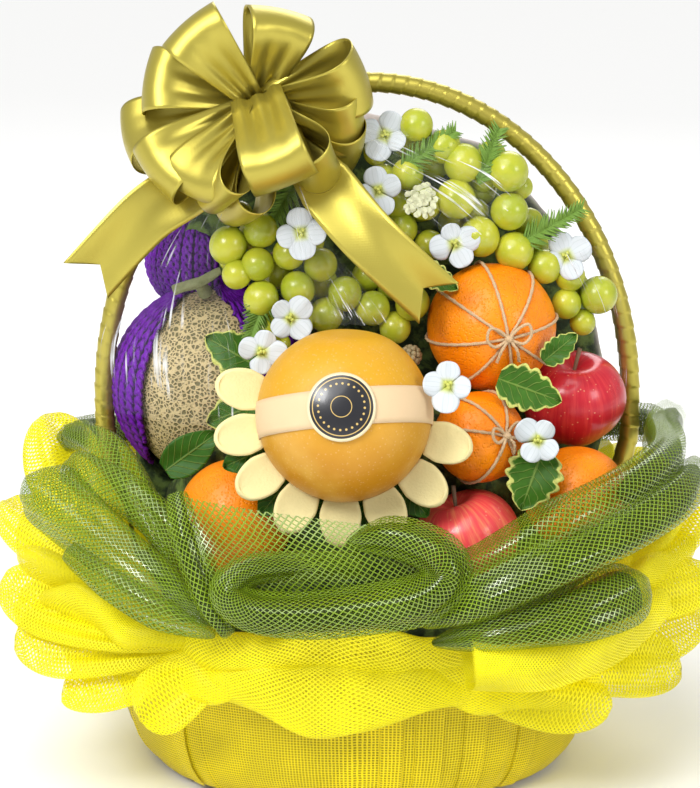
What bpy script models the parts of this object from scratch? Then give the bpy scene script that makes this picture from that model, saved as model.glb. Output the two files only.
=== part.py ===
"""Fruit gift basket: an oval bowl wrapped in mesh, a hoop handle, fruit, frills and a bow.

Units are metres and +Z is up.  The origin is the centre of the bowl's flat underside.
+X is to the right and -Y is the front.  Lists of places are written in millimetres and
are turned into metres by the function mm.
"""
import math
import random
from itertools import product

import bmesh
import bpy
from mathutils import Matrix, Vector

# ---------------------------------------------------------------- driving sizes
GAP = 0.0004                    # air kept between pieces that touch
SLACK = 0.0008                  # air kept round a faceted piece that another is cut by
FLAT_ANGLE = math.radians(1.5)  # faces closer than this to one plane become one face
NUDGE = 0.00007                 # how far a Boolean's operands move at each new attempt
NUDGES = 8
MERGE_DISTANCES = (3e-5, 6e-6, 1e-6, 1e-7)   # tried in turn until the mesh stays closed

BOWL_DEPTH_RATIO = 0.85         # front-to-back size over width
BOWL_SQUARENESS = 2.3           # exponent of the oval plan
BOWL_HEIGHT = 0.110
BOWL_PROFILE = ((0.000, 0.114), (0.004, 0.124), (0.016, 0.134), (0.034, 0.1395),
                (BOWL_HEIGHT, 0.150))   # height, half width
BOWL_WALL = 0.005
BOWL_SEGMENTS = 30
WRAP_THICKNESS = 0.0016
WRAP_PLEATS = 10
WRAP_PLEAT_DEPTH = 0.0012

HOOP_CENTRE = (0.006, 0.0, 0.218)
HOOP_HALF_WIDTH = 0.1575
HOOP_HALF_HEIGHT = 0.1915
HOOP_TUBE = 0.0056
HOOP_LEAVES_AT = -10.0          # degrees; below this the legs lean in to the bowl
HOOP_WAIST = (0.1370, 0.112)    # half width and height where a leg passes the rim
HOOP_FOOT = (0.1270, 0.050)     # half width and height of a leg's end inside the bowl

TIE_ANGLE = 22.0                # degrees; where one tie pulls the frill to the rim
TIE_COUNT = 7
VIEW_TILT = math.radians(15)    # flowers and leaves lean back by this much

RIBBON_WIDTH = 0.038
RIBBON_THICKNESS = 0.0012

# fruit: centre in millimetres, then radius in millimetres
FRUIT = {
    "melon": ((-83.5, 11, 225), 57.5),
    "pear": ((-7, -118, 241), 48.9),
    "orange_top": ((78, -46, 274), 37.4),
    "orange_mid": ((70, -83, 218), 26.2),
    "orange_right": ((127, -75, 179), 30.1),
    "orange_left": ((-70, -82, 170), 33.4),
    "apple_right": ((127.5, -28, 226.5), 31.0),
    "apple_bottom": ((63, -90, 160), 30.8),
}
SLEEVE_THICKNESS = 0.0037
SECOND_SLEEVE = ((-92, 40, 296), 36.0)
TWINE_ROOM = 0.0042             # twine stands this far off the orange that it ties
BAND_ROOM = 0.0026              # the same for the pear's band and sticker
MOUND_CENTRE = (0, -22, 150)    # the padding under the fruit, in millimetres
MOUND_HALF_SIZES = (120, 70, 103)
BAND_WIDTH = 0.020
BAND_TILT = math.radians(20)
FRUIT_ROOM = {"melon": 0.0041, "pear": BAND_ROOM, "orange_top": TWINE_ROOM,
              "orange_mid": TWINE_ROOM}
STICKER_RADIUS = 0.0185
PETAL_COUNT = 14                # steps round the full circle; the lower ones are there
PETAL_FIRST, PETAL_LAST = 166.0, 344.0
PETAL_REACH = 0.0675

# strings of grapes: first and last centre, how many, berry radius, all in millimetres
GRAPES_LEFT = (
    ((-74, -40, 320), (-55, -42, 330), 2, 10.9),
    ((-57, -46, 309), (-21, -44, 308), 3, 10.0),
    ((-71, -44, 303), (-35, -52, 293), 3, 9.8),
    ((-8, -44, 291), (33, -40, 286), 3, 10.2),
    ((-50, -48, 273), (-20, -46, 282), 2, 10.0),
    ((-2, -38, 270), (22, -40, 270), 2, 9.6),
)
GRAPES_RIGHT = (
    ((34, -22, 388), (62, -26, 366), 3, 10.6),
    ((13, -24, 371), (30, -28, 358), 3, 9.2),
    ((25, -36, 345), (26, -34, 327), 2, 9.3),
    ((88, -26, 362), (91, -24, 316), 3, 11.5),
    ((41, -34, 345), (43, -30, 318), 2, 9.8),
    ((59, -36, 348), (71, -32, 326), 2, 11.5),
    ((110, -24, 304), (143, -22, 287), 3, 10.2),
    ((122, -12, 284), (132, -10, 272), 2, 8.6),
)

# rolls of green net: route and radii in millimetres
GREEN_ROLLS = {
    "finger_a": (((-105, -120, 150), (-124, -86, 181), (-144, -52, 199), (-163, -28, 203)),
                 (7, 11, 12, 10)),
    "finger_b": (((-76, -135, 130), (-97, -122, 163), (-126, -98, 184), (-157, -66, 190)),
                 (7, 12, 14, 13)),
    "finger_c": (((-82, -143, 126), (-112, -133, 146), (-145, -108, 164), (-173, -78, 178)),
                 (7, 13, 18, 20)),
    "finger_d": (((-79, -152, 122), (-112, -146, 134), (-140, -130, 146), (-158, -112, 154)),
                 (6, 9, 10, 8)),
    "lip": (((-99, -125, 192), (-93, -138, 170), (-79, -150, 141)), (6, 8, 7)),
    "curl_top": (((-10, -152, 177), (20, -158, 181), (44, -164, 172)), (9, 13, 13)),
    "curl_foot": (((46, -165, 172), (44, -168, 156), (28, -167, 147)), (12, 14, 13)),
    "fold_foot": (((30, -166, 148), (-4, -166, 141), (-40, -166, 138), (-66, -161, 145)),
                  (13, 13, 12, 9)),
    "fold_top": (((-67, -160, 149), (-56, -155, 159), (-40, -153, 162), (-6, -150, 163)),
                 (8, 8, 8, 7)),
    "right_a": (((51, -150, 157), (79, -153, 168), (112, -146, 187), (149, -118, 198),
                 (177, -72, 205), (180, -30, 208), (188, 6, 204)),
                (12, 17, 18, 17, 14, 12, 11)),
    "right_b": (((36, -156, 130), (68, -168, 151), (103, -166, 167), (143, -142, 177),
                 (176, -102, 184), (192, -58, 186)), (8, 13, 15, 15, 14, 12)),
    "right_c": (((42, -153, 118), (79, -166, 130), (118, -158, 137), (146, -140, 142)),
                (6, 11, 17, 18)),
    "behind": (((188, 4, 202), (172, 52, 190), (134, 92, 178), (70, 112, 168), (0, 118, 164),
                (-70, 112, 166), (-130, 90, 176), (-167, 44, 188), (-174, 2, 196),
                (-168, -22, 201)), (11, 13, 13, 13, 13, 13, 13, 13, 11, 10)),
}
PANEL_TOP = ((-100, -127, 192), (-72, -139, 190), (-40, -146, 184), (-5, -152, 179))
PANEL_FOOT = ((-80, -149, 136), (-56, -155, 134), (-30, -158, 132), (5, -158, 134))
PANEL_THICKNESS = 0.0024

# loops of the bow: tip seen from the knot, roll in degrees, opening, depth of the root
BOW_CENTRE = (-57, -42, 404)
BOW_LOOPS = (
    ((-38, -6, 46), 5, 18, -2), ((-62, -8, 13), 20, 20, 8), ((-75, -2, -24), 50, 18, 12),
    ((-60, -26, -42), 25, 20, 0), ((-38, -32, -50), 40, 16, -8), ((-21, -40, -55), 78, 12, -10),
    ((-8, -32, -69), 70, 14, 2), ((16, -46, -50), 0, 20, -12), ((14, -8, 51), 15, 20, 6),
    ((60, -10, 18), 20, 20, -2), ((58, -18, -9), 30, 18, 8), ((40, -34, -33), 70, 16, -4),
    ((57, -14, -29), 45, 16, 14),
)
TAIL_LEFT = ((-66, -42, 388), (-92, -48, 361), (-121, -56, 341), (-155, -60, 305))
TAIL_RIGHT = ((-40, -50, 385), (-18, -64, 361), (8, -80, 333), (46, -92, 299))
TAIL_WIDTH = 0.030

# flowers: place across and up in millimetres, turn in degrees, and depth in millimetres of
# those that stand in front of a gap; the others lie on what is behind them
FLOWERS = ((-32, 334, 10, -68), (-38, 285, 40, -71), (-54, 270, 80, -90), (56, 323, 20, None),
           (50, 262, 0, None), (102, 222, 55, None), (121, 313, 30, None), (16, 384, 70, None),
           (12, 354, 15, None))
FLOWER_RADIUS = 0.0135
BLOSSOM = (37, 348)
BLOSSOM_RADIUS = 0.0085

# leaves: place across and up, length, width in millimetres, turn in degrees, and the depth in
# millimetres of a leaf that stands behind fruit
LEAVES = ((-71, 262, 34, 26, 150, None), (-70, 226, 32, 24, 200, None),
          (98, 247, 34, 24, -20, None), (98, 198, 32, 30, 250, None),
          (46, 306, 24, 14, -30, None), (116, 268, 22, 14, 40, None),
          (-96, 203, 34, 20, 36, -60))
# leaves tucked in behind the foam petals: angle round the pear in degrees, size in mm
TUCKED_LEAVES = ((204, 17, 17), (230, 17, 17), (256, 17, 18), (284, 17, 18), (309, 17, 17))
TUCKED_REACH = 0.0630
SPRIGS = ((40, 376, 34, 35), (76, 372, 30, 70), (112, 332, 36, 30), (-44, 345, 30, 240),
          (-57, 285, 22, 250))
PINECONE = ((31, -52, 258), 6.5)


def mm(values):
    """Return a point written in millimetres as a vector in metres."""
    return Vector(values) * 0.001


# ---------------------------------------------------------------- materials
def make_material(name, colour, roughness=0.5, metallic=0.0):
    material = bpy.data.materials.new(name)
    material.use_nodes = True
    shader = material.node_tree.nodes["Principled BSDF"]
    shader.inputs["Base Color"].default_value = (*colour, 1.0)
    shader.inputs["Roughness"].default_value = roughness
    shader.inputs["Metallic"].default_value = metallic
    return material


# ---------------------------------------------------------------- mesh helpers
def object_from_bmesh(name, mesh_data, material):
    """Turn a bmesh into a smooth object of the scene, with its faces pointing out."""
    bmesh.ops.recalc_face_normals(mesh_data, faces=mesh_data.faces)
    mesh = bpy.data.meshes.new(name)
    mesh_data.to_mesh(mesh)
    mesh_data.free()
    mesh.shade_smooth()
    if material is not None:
        mesh.materials.append(material)
    obj = bpy.data.objects.new(name, mesh)
    bpy.context.scene.collection.objects.link(obj)
    return obj


def object_from_faces(name, points, faces, material=None):
    mesh_data = bmesh.new()
    corners = [mesh_data.verts.new(point) for point in points]
    for face in faces:
        mesh_data.faces.new([corners[index] for index in face])
    return object_from_bmesh(name, mesh_data, material)


def apply_modifiers(obj):
    """Bake the modifiers of an object into its own mesh."""
    depsgraph = bpy.context.evaluated_depsgraph_get()
    mesh = bpy.data.meshes.new_from_object(obj.evaluated_get(depsgraph))
    obj.modifiers.clear()
    old = obj.data
    obj.data = mesh
    bpy.data.meshes.remove(old)


def boolean_with_all(obj, others, operation):
    """Join the others to an object or cut them from it, then remove them.

    Where the result touches itself, the others are nudged a hair's breadth and it is redone.
    """
    group = bpy.data.collections.new("operands")
    bpy.context.scene.collection.children.link(group)
    for other in others:
        bpy.context.scene.collection.objects.unlink(other)
        group.objects.link(other)
    start = obj.data
    for attempt in range(NUDGES):
        obj.data = start.copy()
        for number, other in enumerate(others):
            heading = Vector((math.cos(number), math.sin(1.7 * number), math.cos(2.3 * number)))
            other.location = heading * NUDGE * attempt
        modifier = obj.modifiers.new("join or cut", "BOOLEAN")
        modifier.operation = operation
        modifier.operand_type = "COLLECTION"
        modifier.collection = group
        modifier.solver = "EXACT"
        bpy.context.view_layer.update()
        apply_modifiers(obj)
        if tidy_mesh(obj):
            break
    bpy.data.meshes.remove(start)
    for other in others:
        bpy.data.objects.remove(other)
    bpy.data.collections.remove(group)


def fuse(name, pieces, material):
    """Join closed pieces into one solid by one Boolean union."""
    base = pieces[0]
    base.name = name
    base.data.materials.clear()
    boolean_with_all(base, pieces[1:], "UNION")
    base.data.materials.clear()
    base.data.materials.append(material)
    return base


def carve(obj, cutters):
    """Cut every cutter from an object, one Boolean for all of them."""
    boolean_with_all(obj, cutters, "DIFFERENCE")


def tidy_mesh(obj):
    """Merge slivers, join flat faces and keep the largest body; tell whether it is closed."""
    for flat_angle, distance in product((FLAT_ANGLE, 0.0), MERGE_DISTANCES):
        mesh_data = bmesh.new()
        mesh_data.from_mesh(obj.data)
        bmesh.ops.remove_doubles(mesh_data, verts=mesh_data.verts, dist=distance)
        bmesh.ops.dissolve_degenerate(mesh_data, dist=distance, edges=mesh_data.edges)
        if flat_angle:
            bmesh.ops.dissolve_limit(mesh_data, angle_limit=flat_angle, verts=mesh_data.verts,
                                     edges=mesh_data.edges)
        bmesh.ops.triangulate(mesh_data, faces=mesh_data.faces)
        closed = all(edge.is_manifold for edge in mesh_data.edges)
        closed = closed and all(vertex.is_manifold for vertex in mesh_data.verts)
        if closed:
            break
    islands = sorted(find_islands(mesh_data), key=len)
    for island in islands[:-1]:
        bmesh.ops.delete(mesh_data, geom=island, context="FACES")
    mesh_data.to_mesh(obj.data)
    mesh_data.free()
    return closed


def find_islands(mesh_data):
    """Return the faces of a bmesh in lists, one for each connected body."""
    left = set(mesh_data.faces)
    islands = []
    while left:
        queue = [left.pop()]
        island = []
        while queue:
            face = queue.pop()
            island.append(face)
            for edge in face.edges:
                for other in edge.link_faces:
                    if other in left:
                        left.remove(other)
                        queue.append(other)
        islands.append(island)
    return islands


# ---------------------------------------------------------------- shapes
def ball(name, centre, radius, material=None, segments=16, rings=10, stretch=(1, 1, 1), turn=None):
    """A ball, or an egg where stretch differs between the axes."""
    mesh_data = bmesh.new()
    bmesh.ops.create_uvsphere(mesh_data, u_segments=segments, v_segments=rings, radius=radius)
    matrix = Matrix.Diagonal((*stretch, 1.0))
    if turn is not None:
        matrix = turn.to_4x4() @ matrix
    bmesh.ops.transform(mesh_data, matrix=Matrix.Translation(centre) @ matrix, verts=mesh_data.verts)
    return object_from_bmesh(name, mesh_data, material)


def bead(name, centre, radius):
    """A small ball of 42 faces, a little larger so that it keeps its bulk."""
    return ball(name, centre, 1.04 * radius, None, 7, 4)


def turned(name, centre, profile, material, segments=14, turn=None):
    """A closed turned body from (radius, height) pairs that start and end on the axis."""
    points, faces = [], []
    turn = turn or Matrix.Identity(3)
    rings = []
    for radius, height in profile:
        if radius == 0:
            rings.append([len(points)])
            points.append(centre + turn @ Vector((0, 0, height)))
            continue
        ring = []
        for step in range(segments):
            angle = math.tau * step / segments
            ring.append(len(points))
            points.append(centre + turn @ Vector((radius * math.cos(angle),
                                                  radius * math.sin(angle), height)))
        rings.append(ring)
    for lower, upper in zip(rings, rings[1:]):
        faces += bridge(lower, upper)
    return object_from_faces(name, points, faces, material)


def bridge(lower, upper):
    """Faces between two rings of indices, either of which may be a single point."""
    faces = []
    count = max(len(lower), len(upper))
    for step in range(count):
        following = (step + 1) % count
        if len(lower) == 1:
            faces.append((lower[0], upper[following], upper[step]))
        elif len(upper) == 1:
            faces.append((lower[step], lower[following], upper[0]))
        else:
            faces.append((lower[step], lower[following], upper[following], upper[step]))
    return faces


def smooth_route(points, values, samples):
    """Read points and values along a Catmull-Rom curve through the given ones."""
    points = [Vector(point) for point in points]
    result = []
    spans = len(points) - 1
    for sample in range(samples):
        place = sample / (samples - 1) * spans
        index = min(int(place), spans - 1)
        part = place - index
        before = points[max(index - 1, 0)]
        first, second = points[index], points[index + 1]
        after = points[min(index + 2, spans)]
        point = 0.5 * (2 * first + (second - before) * part
                       + (2 * before - 5 * first + 4 * second - after) * part ** 2
                       + (3 * first - before - 3 * second + after) * part ** 3)
        value = values[index] + (values[index + 1] - values[index]) * part
        result.append((point, value))
    return result


def tube(name, route, sides, material=None, closed=False):
    """A round tube along (point, radius) pairs, with domed ends unless it is closed."""
    points, rings = [], []
    count = len(route)
    normal = None
    for index, (point, radius) in enumerate(route):
        before = route[index - 1][0] if index or closed else point
        after = route[(index + 1) % count][0] if index < count - 1 or closed else point
        along = (after - before).normalized()
        if normal is None:
            normal = along.orthogonal().normalized()
        normal = (normal - along * normal.dot(along)).normalized()
        other = along.cross(normal)
        dome = []
        if not closed and index == 0:
            dome = [(-0.62, 0.66)]
        ring_set = dome + [(0.0, 1.0)]
        if not closed and index == count - 1:
            ring_set = [(0.0, 1.0), (0.62, 0.66)]
        if not closed and index == 0:
            rings.append([len(points)])
            points.append(point - along * radius * 0.9)
        for shift, share in ring_set:
            ring = []
            for step in range(sides):
                angle = math.tau * step / sides
                spoke = normal * math.cos(angle) + other * math.sin(angle)
                ring.append(len(points))
                points.append(point + along * radius * shift + spoke * radius * share)
            rings.append(ring)
        if not closed and index == count - 1:
            rings.append([len(points)])
            points.append(point + along * radius * 0.9)
    faces = []
    pairs = list(zip(rings, rings[1:]))
    if closed:
        pairs.append((rings[-1], rings[0]))
    for lower, upper in pairs:
        faces += bridge(lower, upper)
    return object_from_faces(name, points, faces, material)


def plate(name, rows, thickness, material=None):
    """A thin closed plate through a grid of points, both faces split alike."""
    height, width = len(rows), len(rows[0])
    points = []
    for side in (0.5, -0.5):
        for row in range(height):
            for column in range(width):
                down = rows[min(row + 1, height - 1)][column] - rows[max(row - 1, 0)][column]
                across = rows[row][min(column + 1, width - 1)] - rows[row][max(column - 1, 0)]
                normal = across.cross(down).normalized()
                points.append(rows[row][column] + normal * thickness * side)
    back = height * width
    faces = []
    for row in range(height - 1):
        for column in range(width - 1):
            a = row * width + column
            b, c, d = a + 1, a + width + 1, a + width
            faces += [(a, b, c), (a, c, d)]
            faces += [(back + c, back + b, back + a), (back + d, back + c, back + a)]
    border = list(range(width))
    border += [row * width + width - 1 for row in range(1, height)]
    border += [(height - 1) * width + column for column in range(width - 2, -1, -1)]
    border += [row * width for row in range(height - 2, 0, -1)]
    for first, second in zip(border, border[1:] + border[:1]):
        faces.append((first, back + first, back + second, second))
    return object_from_faces(name, points, faces, material)


# ---------------------------------------------------------------- the bowl
def oval_point(angle, half_width, height):
    """A point on the bowl's oval plan; angle 0 is the front and +90 degrees is +X."""
    power = 2 / BOWL_SQUARENESS
    across = math.copysign(abs(math.sin(angle)) ** power, math.sin(angle))
    ahead = math.copysign(abs(math.cos(angle)) ** power, math.cos(angle))
    return Vector((half_width * across, -half_width * BOWL_DEPTH_RATIO * ahead, height))


def oval_ring_solid(name, sections, segments, material):
    """Sweep closed sections of (half width, height) round the oval plan."""
    points, rings = [], []
    for step in range(segments):
        angle = math.tau * step / segments
        ring = []
        for half_width, height in sections(angle):
            ring.append(len(points))
            points.append(oval_point(angle, half_width, height))
        rings.append(ring)
    faces = []
    for lower, upper in zip(rings, rings[1:] + rings[:1]):
        faces += bridge(lower, upper)
    return object_from_faces(name, points, faces, material)


def profile_half_width(height):
    """Half width of the bowl's outer face at a height."""
    for (low, low_width), (high, high_width) in zip(BOWL_PROFILE, BOWL_PROFILE[1:]):
        if height <= high:
            return low_width + (high_width - low_width) * (height - low) / (high - low)
    return BOWL_PROFILE[-1][1]


def make_basket(material):
    """The open bowl: outer wall, rim, inner wall and floor."""
    segments = BOWL_SEGMENTS
    outer = [(width, height) for height, width in BOWL_PROFILE]
    inner = [(width - BOWL_WALL, max(height, BOWL_WALL)) for height, width in BOWL_PROFILE[::-1]]
    inner = [inner[0], inner[1], (inner[3][0] - 0.004, BOWL_WALL)]
    points, rings = [Vector((0, 0, 0))], [[0]]
    for half_width, height in outer + inner:
        ring = []
        for step in range(segments):
            ring.append(len(points))
            points.append(oval_point(math.tau * step / segments, half_width, height))
        rings.append(ring)
    rings.append([len(points)])
    points.append(Vector((0, 0, BOWL_WALL)))
    faces = []
    for lower, upper in zip(rings, rings[1:]):
        faces += bridge(lower, upper)
    return object_from_faces("basket", points, faces, material)


def make_wrap(material):
    """The mesh skin over the bowl's side, with shallow upright pleats."""
    heights = [height for height, _ in BOWL_PROFILE[1:-1]] + [BOWL_HEIGHT - 0.004]

    def section(angle):
        wave = (angle * WRAP_PLEATS / math.tau) % 1.0
        pleat = WRAP_PLEAT_DEPTH * wave
        inner = [(profile_half_width(height) + GAP, height) for height in heights]
        outer = [(profile_half_width(height) + GAP + WRAP_THICKNESS + pleat, height)
                 for height in heights[::-1]]
        return inner + outer

    return oval_ring_solid("wrap", section, BOWL_SEGMENTS, material)


def hoop_route(radius, samples=22):
    """The hoop's centre line from one foot over the top to the other."""
    centre = Vector(HOOP_CENTRE)
    route = [(Vector((-half_width, 0, height)), radius) for half_width, height in
             (HOOP_FOOT, HOOP_WAIST)]
    first = math.radians(HOOP_LEAVES_AT)
    for step in range(samples + 1):
        angle = math.pi - first - (math.pi - 2 * first) * step / samples
        point = centre + Vector((HOOP_HALF_WIDTH * math.cos(angle), 0,
                                 HOOP_HALF_HEIGHT * math.sin(angle)))
        route.append((point, radius))
    route += [(Vector((half_width, 0, height)), radius) for half_width, height in
              (HOOP_WAIST, HOOP_FOOT)]
    return route


# ---------------------------------------------------------------- fruit
def fruit_place(name):
    centre, radius = FRUIT[name]
    return mm(centre), radius * 0.001


def fruit_ball(name, material, segments=16, rings=10):
    centre, radius = fruit_place(name)
    return ball(name, centre, radius, material, segments, rings)


def apple(name, material, turn):
    """An apple: broad shoulders, a dip at the top and a small one below."""
    centre, radius = fruit_place(name)
    profile = ((0, -0.72), (0.22, -0.80), (0.50, -0.84), (0.80, -0.58), (0.98, -0.10),
               (0.98, 0.22), (0.80, 0.60), (0.48, 0.80), (0.22, 0.74), (0, 0.52))
    scaled = [(share * radius, height * radius) for share, height in profile]
    return turned(name, centre, scaled, material, 12, turn)


def tongue_cutter(centre, half_width, half_height, reach):
    """An upright oval bar that runs away from the front, to open the sleeve."""
    points, rings = [], []
    for depth in (-reach, 0.0):
        ring = []
        for step in range(14):
            angle = math.tau * step / 14
            drop = 1.7 if math.sin(angle) < 0 else 1.0
            ring.append(len(points))
            points.append(centre + Vector((half_width * math.cos(angle), depth,
                                           half_height * drop * math.sin(angle))))
        rings.append(ring)
    faces = bridge(rings[0], rings[1]) + [tuple(rings[0]), tuple(rings[1])]
    return object_from_faces("opening", points, faces)


def make_sleeve(material):
    """The knitted sleeve: a shell round the melon that is open at the front."""
    centre, radius = fruit_place("melon")
    sleeve = ball("melon_sleeve", centre, radius + SLEEVE_THICKNESS + GAP, material, 14, 8)
    hollow = ball("hollow", centre, radius + GAP, None, 14, 8)
    opening = tongue_cutter(centre + mm((-8, 0, -6)), 0.037, 0.056, 0.090)
    carve(sleeve, [hollow, opening])
    return sleeve


def make_second_sleeve(material):
    """The gathered net of a second fruit, resting on the melon's sleeve."""
    centre, radius = mm(SECOND_SLEEVE[0]), SECOND_SLEEVE[1] * 0.001
    bundle = ball("second_sleeve", centre, radius, material, 16, 10, (1.0, 0.8, 0.95))
    melon_centre, melon_radius = fruit_place("melon")
    clear = melon_radius + SLEEVE_THICKNESS + GAP + SLACK
    carve(bundle, [ball("seat", melon_centre, clear, None, 20, 12)])
    return bundle


def make_melon_stem(material):
    """The T-shaped stem that the melon was cut with."""
    bar = tube("bar", smooth_route([mm(p) for p in ((-106, -12, 289), (-94, -13, 293),
                                                    (-82, -12, 299))],
                                   [0.0026, 0.0030, 0.0022], 5), 6)
    post = tube("post", smooth_route([mm(p) for p in ((-91, -6, 288.5), (-93, -12, 292))],
                                     [0.0030, 0.0028], 3), 6)
    return fuse("melon_stem", [bar, post], material)


def pear_turn():
    """The tilt of the paper band: its front edge up and its right end up."""
    return Matrix.Rotation(math.radians(-5), 3, "Y") @ Matrix.Rotation(-BAND_TILT, 3, "X")


def make_band(material):
    """The paper band that follows the pear's widest line."""
    segments, rows = 18, 3
    centre, radius = fruit_place("pear")
    clear = (radius + GAP) / math.cos(math.pi / segments)
    points, rings = [], []
    for step in range(segments):
        angle = math.tau * step / segments
        ring = []
        for shell, order in ((0.0, 1), (0.0007, -1)):
            for row in range(rows)[::order]:
                height = (row / (rows - 1) - 0.5) * BAND_WIDTH
                reach = math.sqrt((clear + shell) ** 2 - height ** 2)
                ring.append(len(points))
                points.append(centre + pear_turn() @ Vector((reach * math.sin(angle),
                                                             -reach * math.cos(angle), height)))
        rings.append(ring)
    faces = []
    for lower, upper in zip(rings, rings[1:] + rings[:1]):
        faces += bridge(lower, upper)
    return object_from_faces("pear_band", points, faces, material)


def make_sticker(material):
    """A round sticker: a thin domed disc on the band's front."""
    centre, radius = fruit_place("pear")
    segments, rings_out = 16, 2
    inner = (radius + GAP) / math.cos(math.pi / 18) + 0.0007 + GAP
    turn = pear_turn() @ Matrix.Rotation(math.pi / 2, 3, "X")
    profile = []
    for shell, order in ((0.0, 1), (0.0009, -1)):
        for ring in range(rings_out + 1)[::order]:
            share = ring / rings_out
            reach = STICKER_RADIUS * share
            profile.append((reach, math.sqrt((inner + shell) ** 2 - reach ** 2)))
    return turned("pear_sticker", centre, profile, material, segments, turn)


def make_foam_petals(material):
    """The foam collar behind the pear: one ring with petals on its lower part."""
    centre, radius = fruit_place("pear")
    lean = Matrix.Rotation(-VIEW_TILT, 3, "X")
    ring_radius = radius + 0.0046
    route = []
    for step in range(16):
        angle = math.tau * step / 16
        spot = Vector((math.cos(angle) * ring_radius, 0.008, math.sin(angle) * ring_radius))
        route.append((centre + lean @ spot, 0.0019))
    pieces = [tube("ring", route, 3, closed=True)]
    step_angle = 360 / PETAL_COUNT
    count = round((PETAL_LAST - PETAL_FIRST) / step_angle) + 1
    for index in range(count):
        angle = math.radians(PETAL_FIRST + (PETAL_LAST - PETAL_FIRST) * index / (count - 1))
        outward = Vector((math.cos(angle), 0, math.sin(angle)))
        side = Vector((-math.sin(angle), 0, math.cos(angle)))
        rows = []
        for share, half in ((0.0, 0.0085), (0.55, 0.0108), (1.0, 0.0045)):
            reach = ring_radius + (PETAL_REACH - ring_radius) * share
            row = []
            for across in (-1, 0, 1):
                cup = 0.0018 * (1 - across ** 2) - 0.005 * share + 0.008
                row.append(centre + lean @ (outward * reach + side * half * across
                                            + Vector((0, cup, 0))))
            rows.append(row)
        pieces.append(plate("petal", rows, 0.0026))
    return fuse("foam_petals", pieces, material)


def make_twine(name, fruit, turns, knot_direction, material):
    """Twine loops that cross at a knot on the fruit's front and again behind it."""
    centre, radius = fruit_place(fruit)
    segments, thickness = 10, 0.0009
    reach = (radius + GAP + thickness) / math.cos(math.pi / segments)
    knot = Vector(knot_direction).normalized()
    side = knot.orthogonal().normalized()
    pieces = []
    for turn in turns:
        across = Matrix.Rotation(math.radians(turn), 3, knot) @ side
        route = []
        for step in range(segments):
            angle = math.tau * step / segments
            spot = knot * math.cos(angle) + across * math.sin(angle)
            route.append((centre + spot * reach, thickness))
        pieces.append(tube("loop", route, 3, closed=True))
    for direction in (1, -1):
        crossing = centre + knot * direction * reach
        pieces.append(ball("crossing", crossing, 1.0, None, 6, 4, (0.0036, 0.0016, 0.0036),
                           knot.to_track_quat("-Y", "Z").to_matrix()))
    return fuse(name, pieces, material)


# ---------------------------------------------------------------- grapes
def grape_places(strings):
    """Centres and radii of the berries along each string, with small seeded changes."""
    draw = random.Random(7)
    places = []
    for first, last, count, radius in strings:
        first, last = mm(first), mm(last)
        for index in range(count):
            share = index / (count - 1)
            size = radius * 0.001 * draw.uniform(0.96, 1.04)
            bulge = Vector((0, -0.003 * math.sin(math.pi * share), 0))
            places.append((clear_of_fruit(first.lerp(last, share) + bulge, size), size))
    return places


def clear_of_fruit(place, size):
    """Push a berry straight out of any fruit that it would touch."""
    for name in FRUIT:
        centre, radius = fruit_place(name)
        reach = radius + size + FRUIT_ROOM.get(name, 0.0) + SLACK
        if (place - centre).length < reach:
            place = centre + (place - centre).normalized() * reach
    return place


def stem_pairs(places):
    """The shortest tree of stems that joins all the berries of a bunch."""
    joined, pairs = {0}, []
    while len(joined) < len(places):
        options = [((places[a][0] - places[b][0]).length, a, b)
                   for a in joined for b in range(len(places)) if b not in joined]
        length, near, far = min(options)
        joined.add(far)
        if length > 0.97 * (places[near][1] + places[far][1]):
            pairs.append((near, far))
    return pairs


def make_grapes(name, strings, cores, material):
    """A bunch: flattened cores and stems with the berries that show fused on."""
    places = grape_places(strings)
    pieces = [ball("core", mm(centre), 0.001, None, 8, 5, size) for centre, size in cores]
    pieces += [bead("berry", centre, radius) for centre, radius in places]
    for near, far in stem_pairs(places):
        route = [(places[near][0], 0.0026), (places[far][0], 0.0026)]
        pieces.append(tube("stem", route, 3))
    return fuse(name, pieces, material)


# ---------------------------------------------------------------- flowers and leaves
def solid_balls():
    """Every round body that a flower or leaf may rest on."""
    balls = [fruit_place(name) for name in FRUIT]
    melon_centre, melon_radius = fruit_place("melon")
    balls.append((melon_centre, melon_radius + SLEEVE_THICKNESS + GAP))
    balls += grape_places(GRAPES_LEFT) + grape_places(GRAPES_RIGHT)
    return balls


def front_of(across, up, reach, balls, rest_depth):
    """Depth at which a leaning disc just clears every ball behind it."""
    depth = rest_depth
    mound, half_sizes = mm(MOUND_CENTRE), mm(MOUND_HALF_SIZES)
    for ring in (0.0, 0.5, 1.0):
        for step in range(12):
            angle = math.tau * step / 12
            shift_x = reach * ring * math.cos(angle)
            shift_z = reach * ring * math.sin(angle)
            inside = 1 - ((across + shift_x - mound.x) / half_sizes.x) ** 2
            inside -= ((up + shift_z - mound.z) / half_sizes.z) ** 2
            if inside > 0:
                face = mound.y - half_sizes.y * math.sqrt(inside) - 0.0016
                depth = min(depth, face - shift_z * math.tan(VIEW_TILT))
            for centre, radius in balls:
                away = math.hypot(across + shift_x - centre.x, up + shift_z - centre.z)
                clear = radius + 0.0016
                if away < clear:
                    face = centre.y - math.sqrt(clear ** 2 - away ** 2)
                    depth = min(depth, face - shift_z * math.tan(VIEW_TILT))
    return depth


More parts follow.
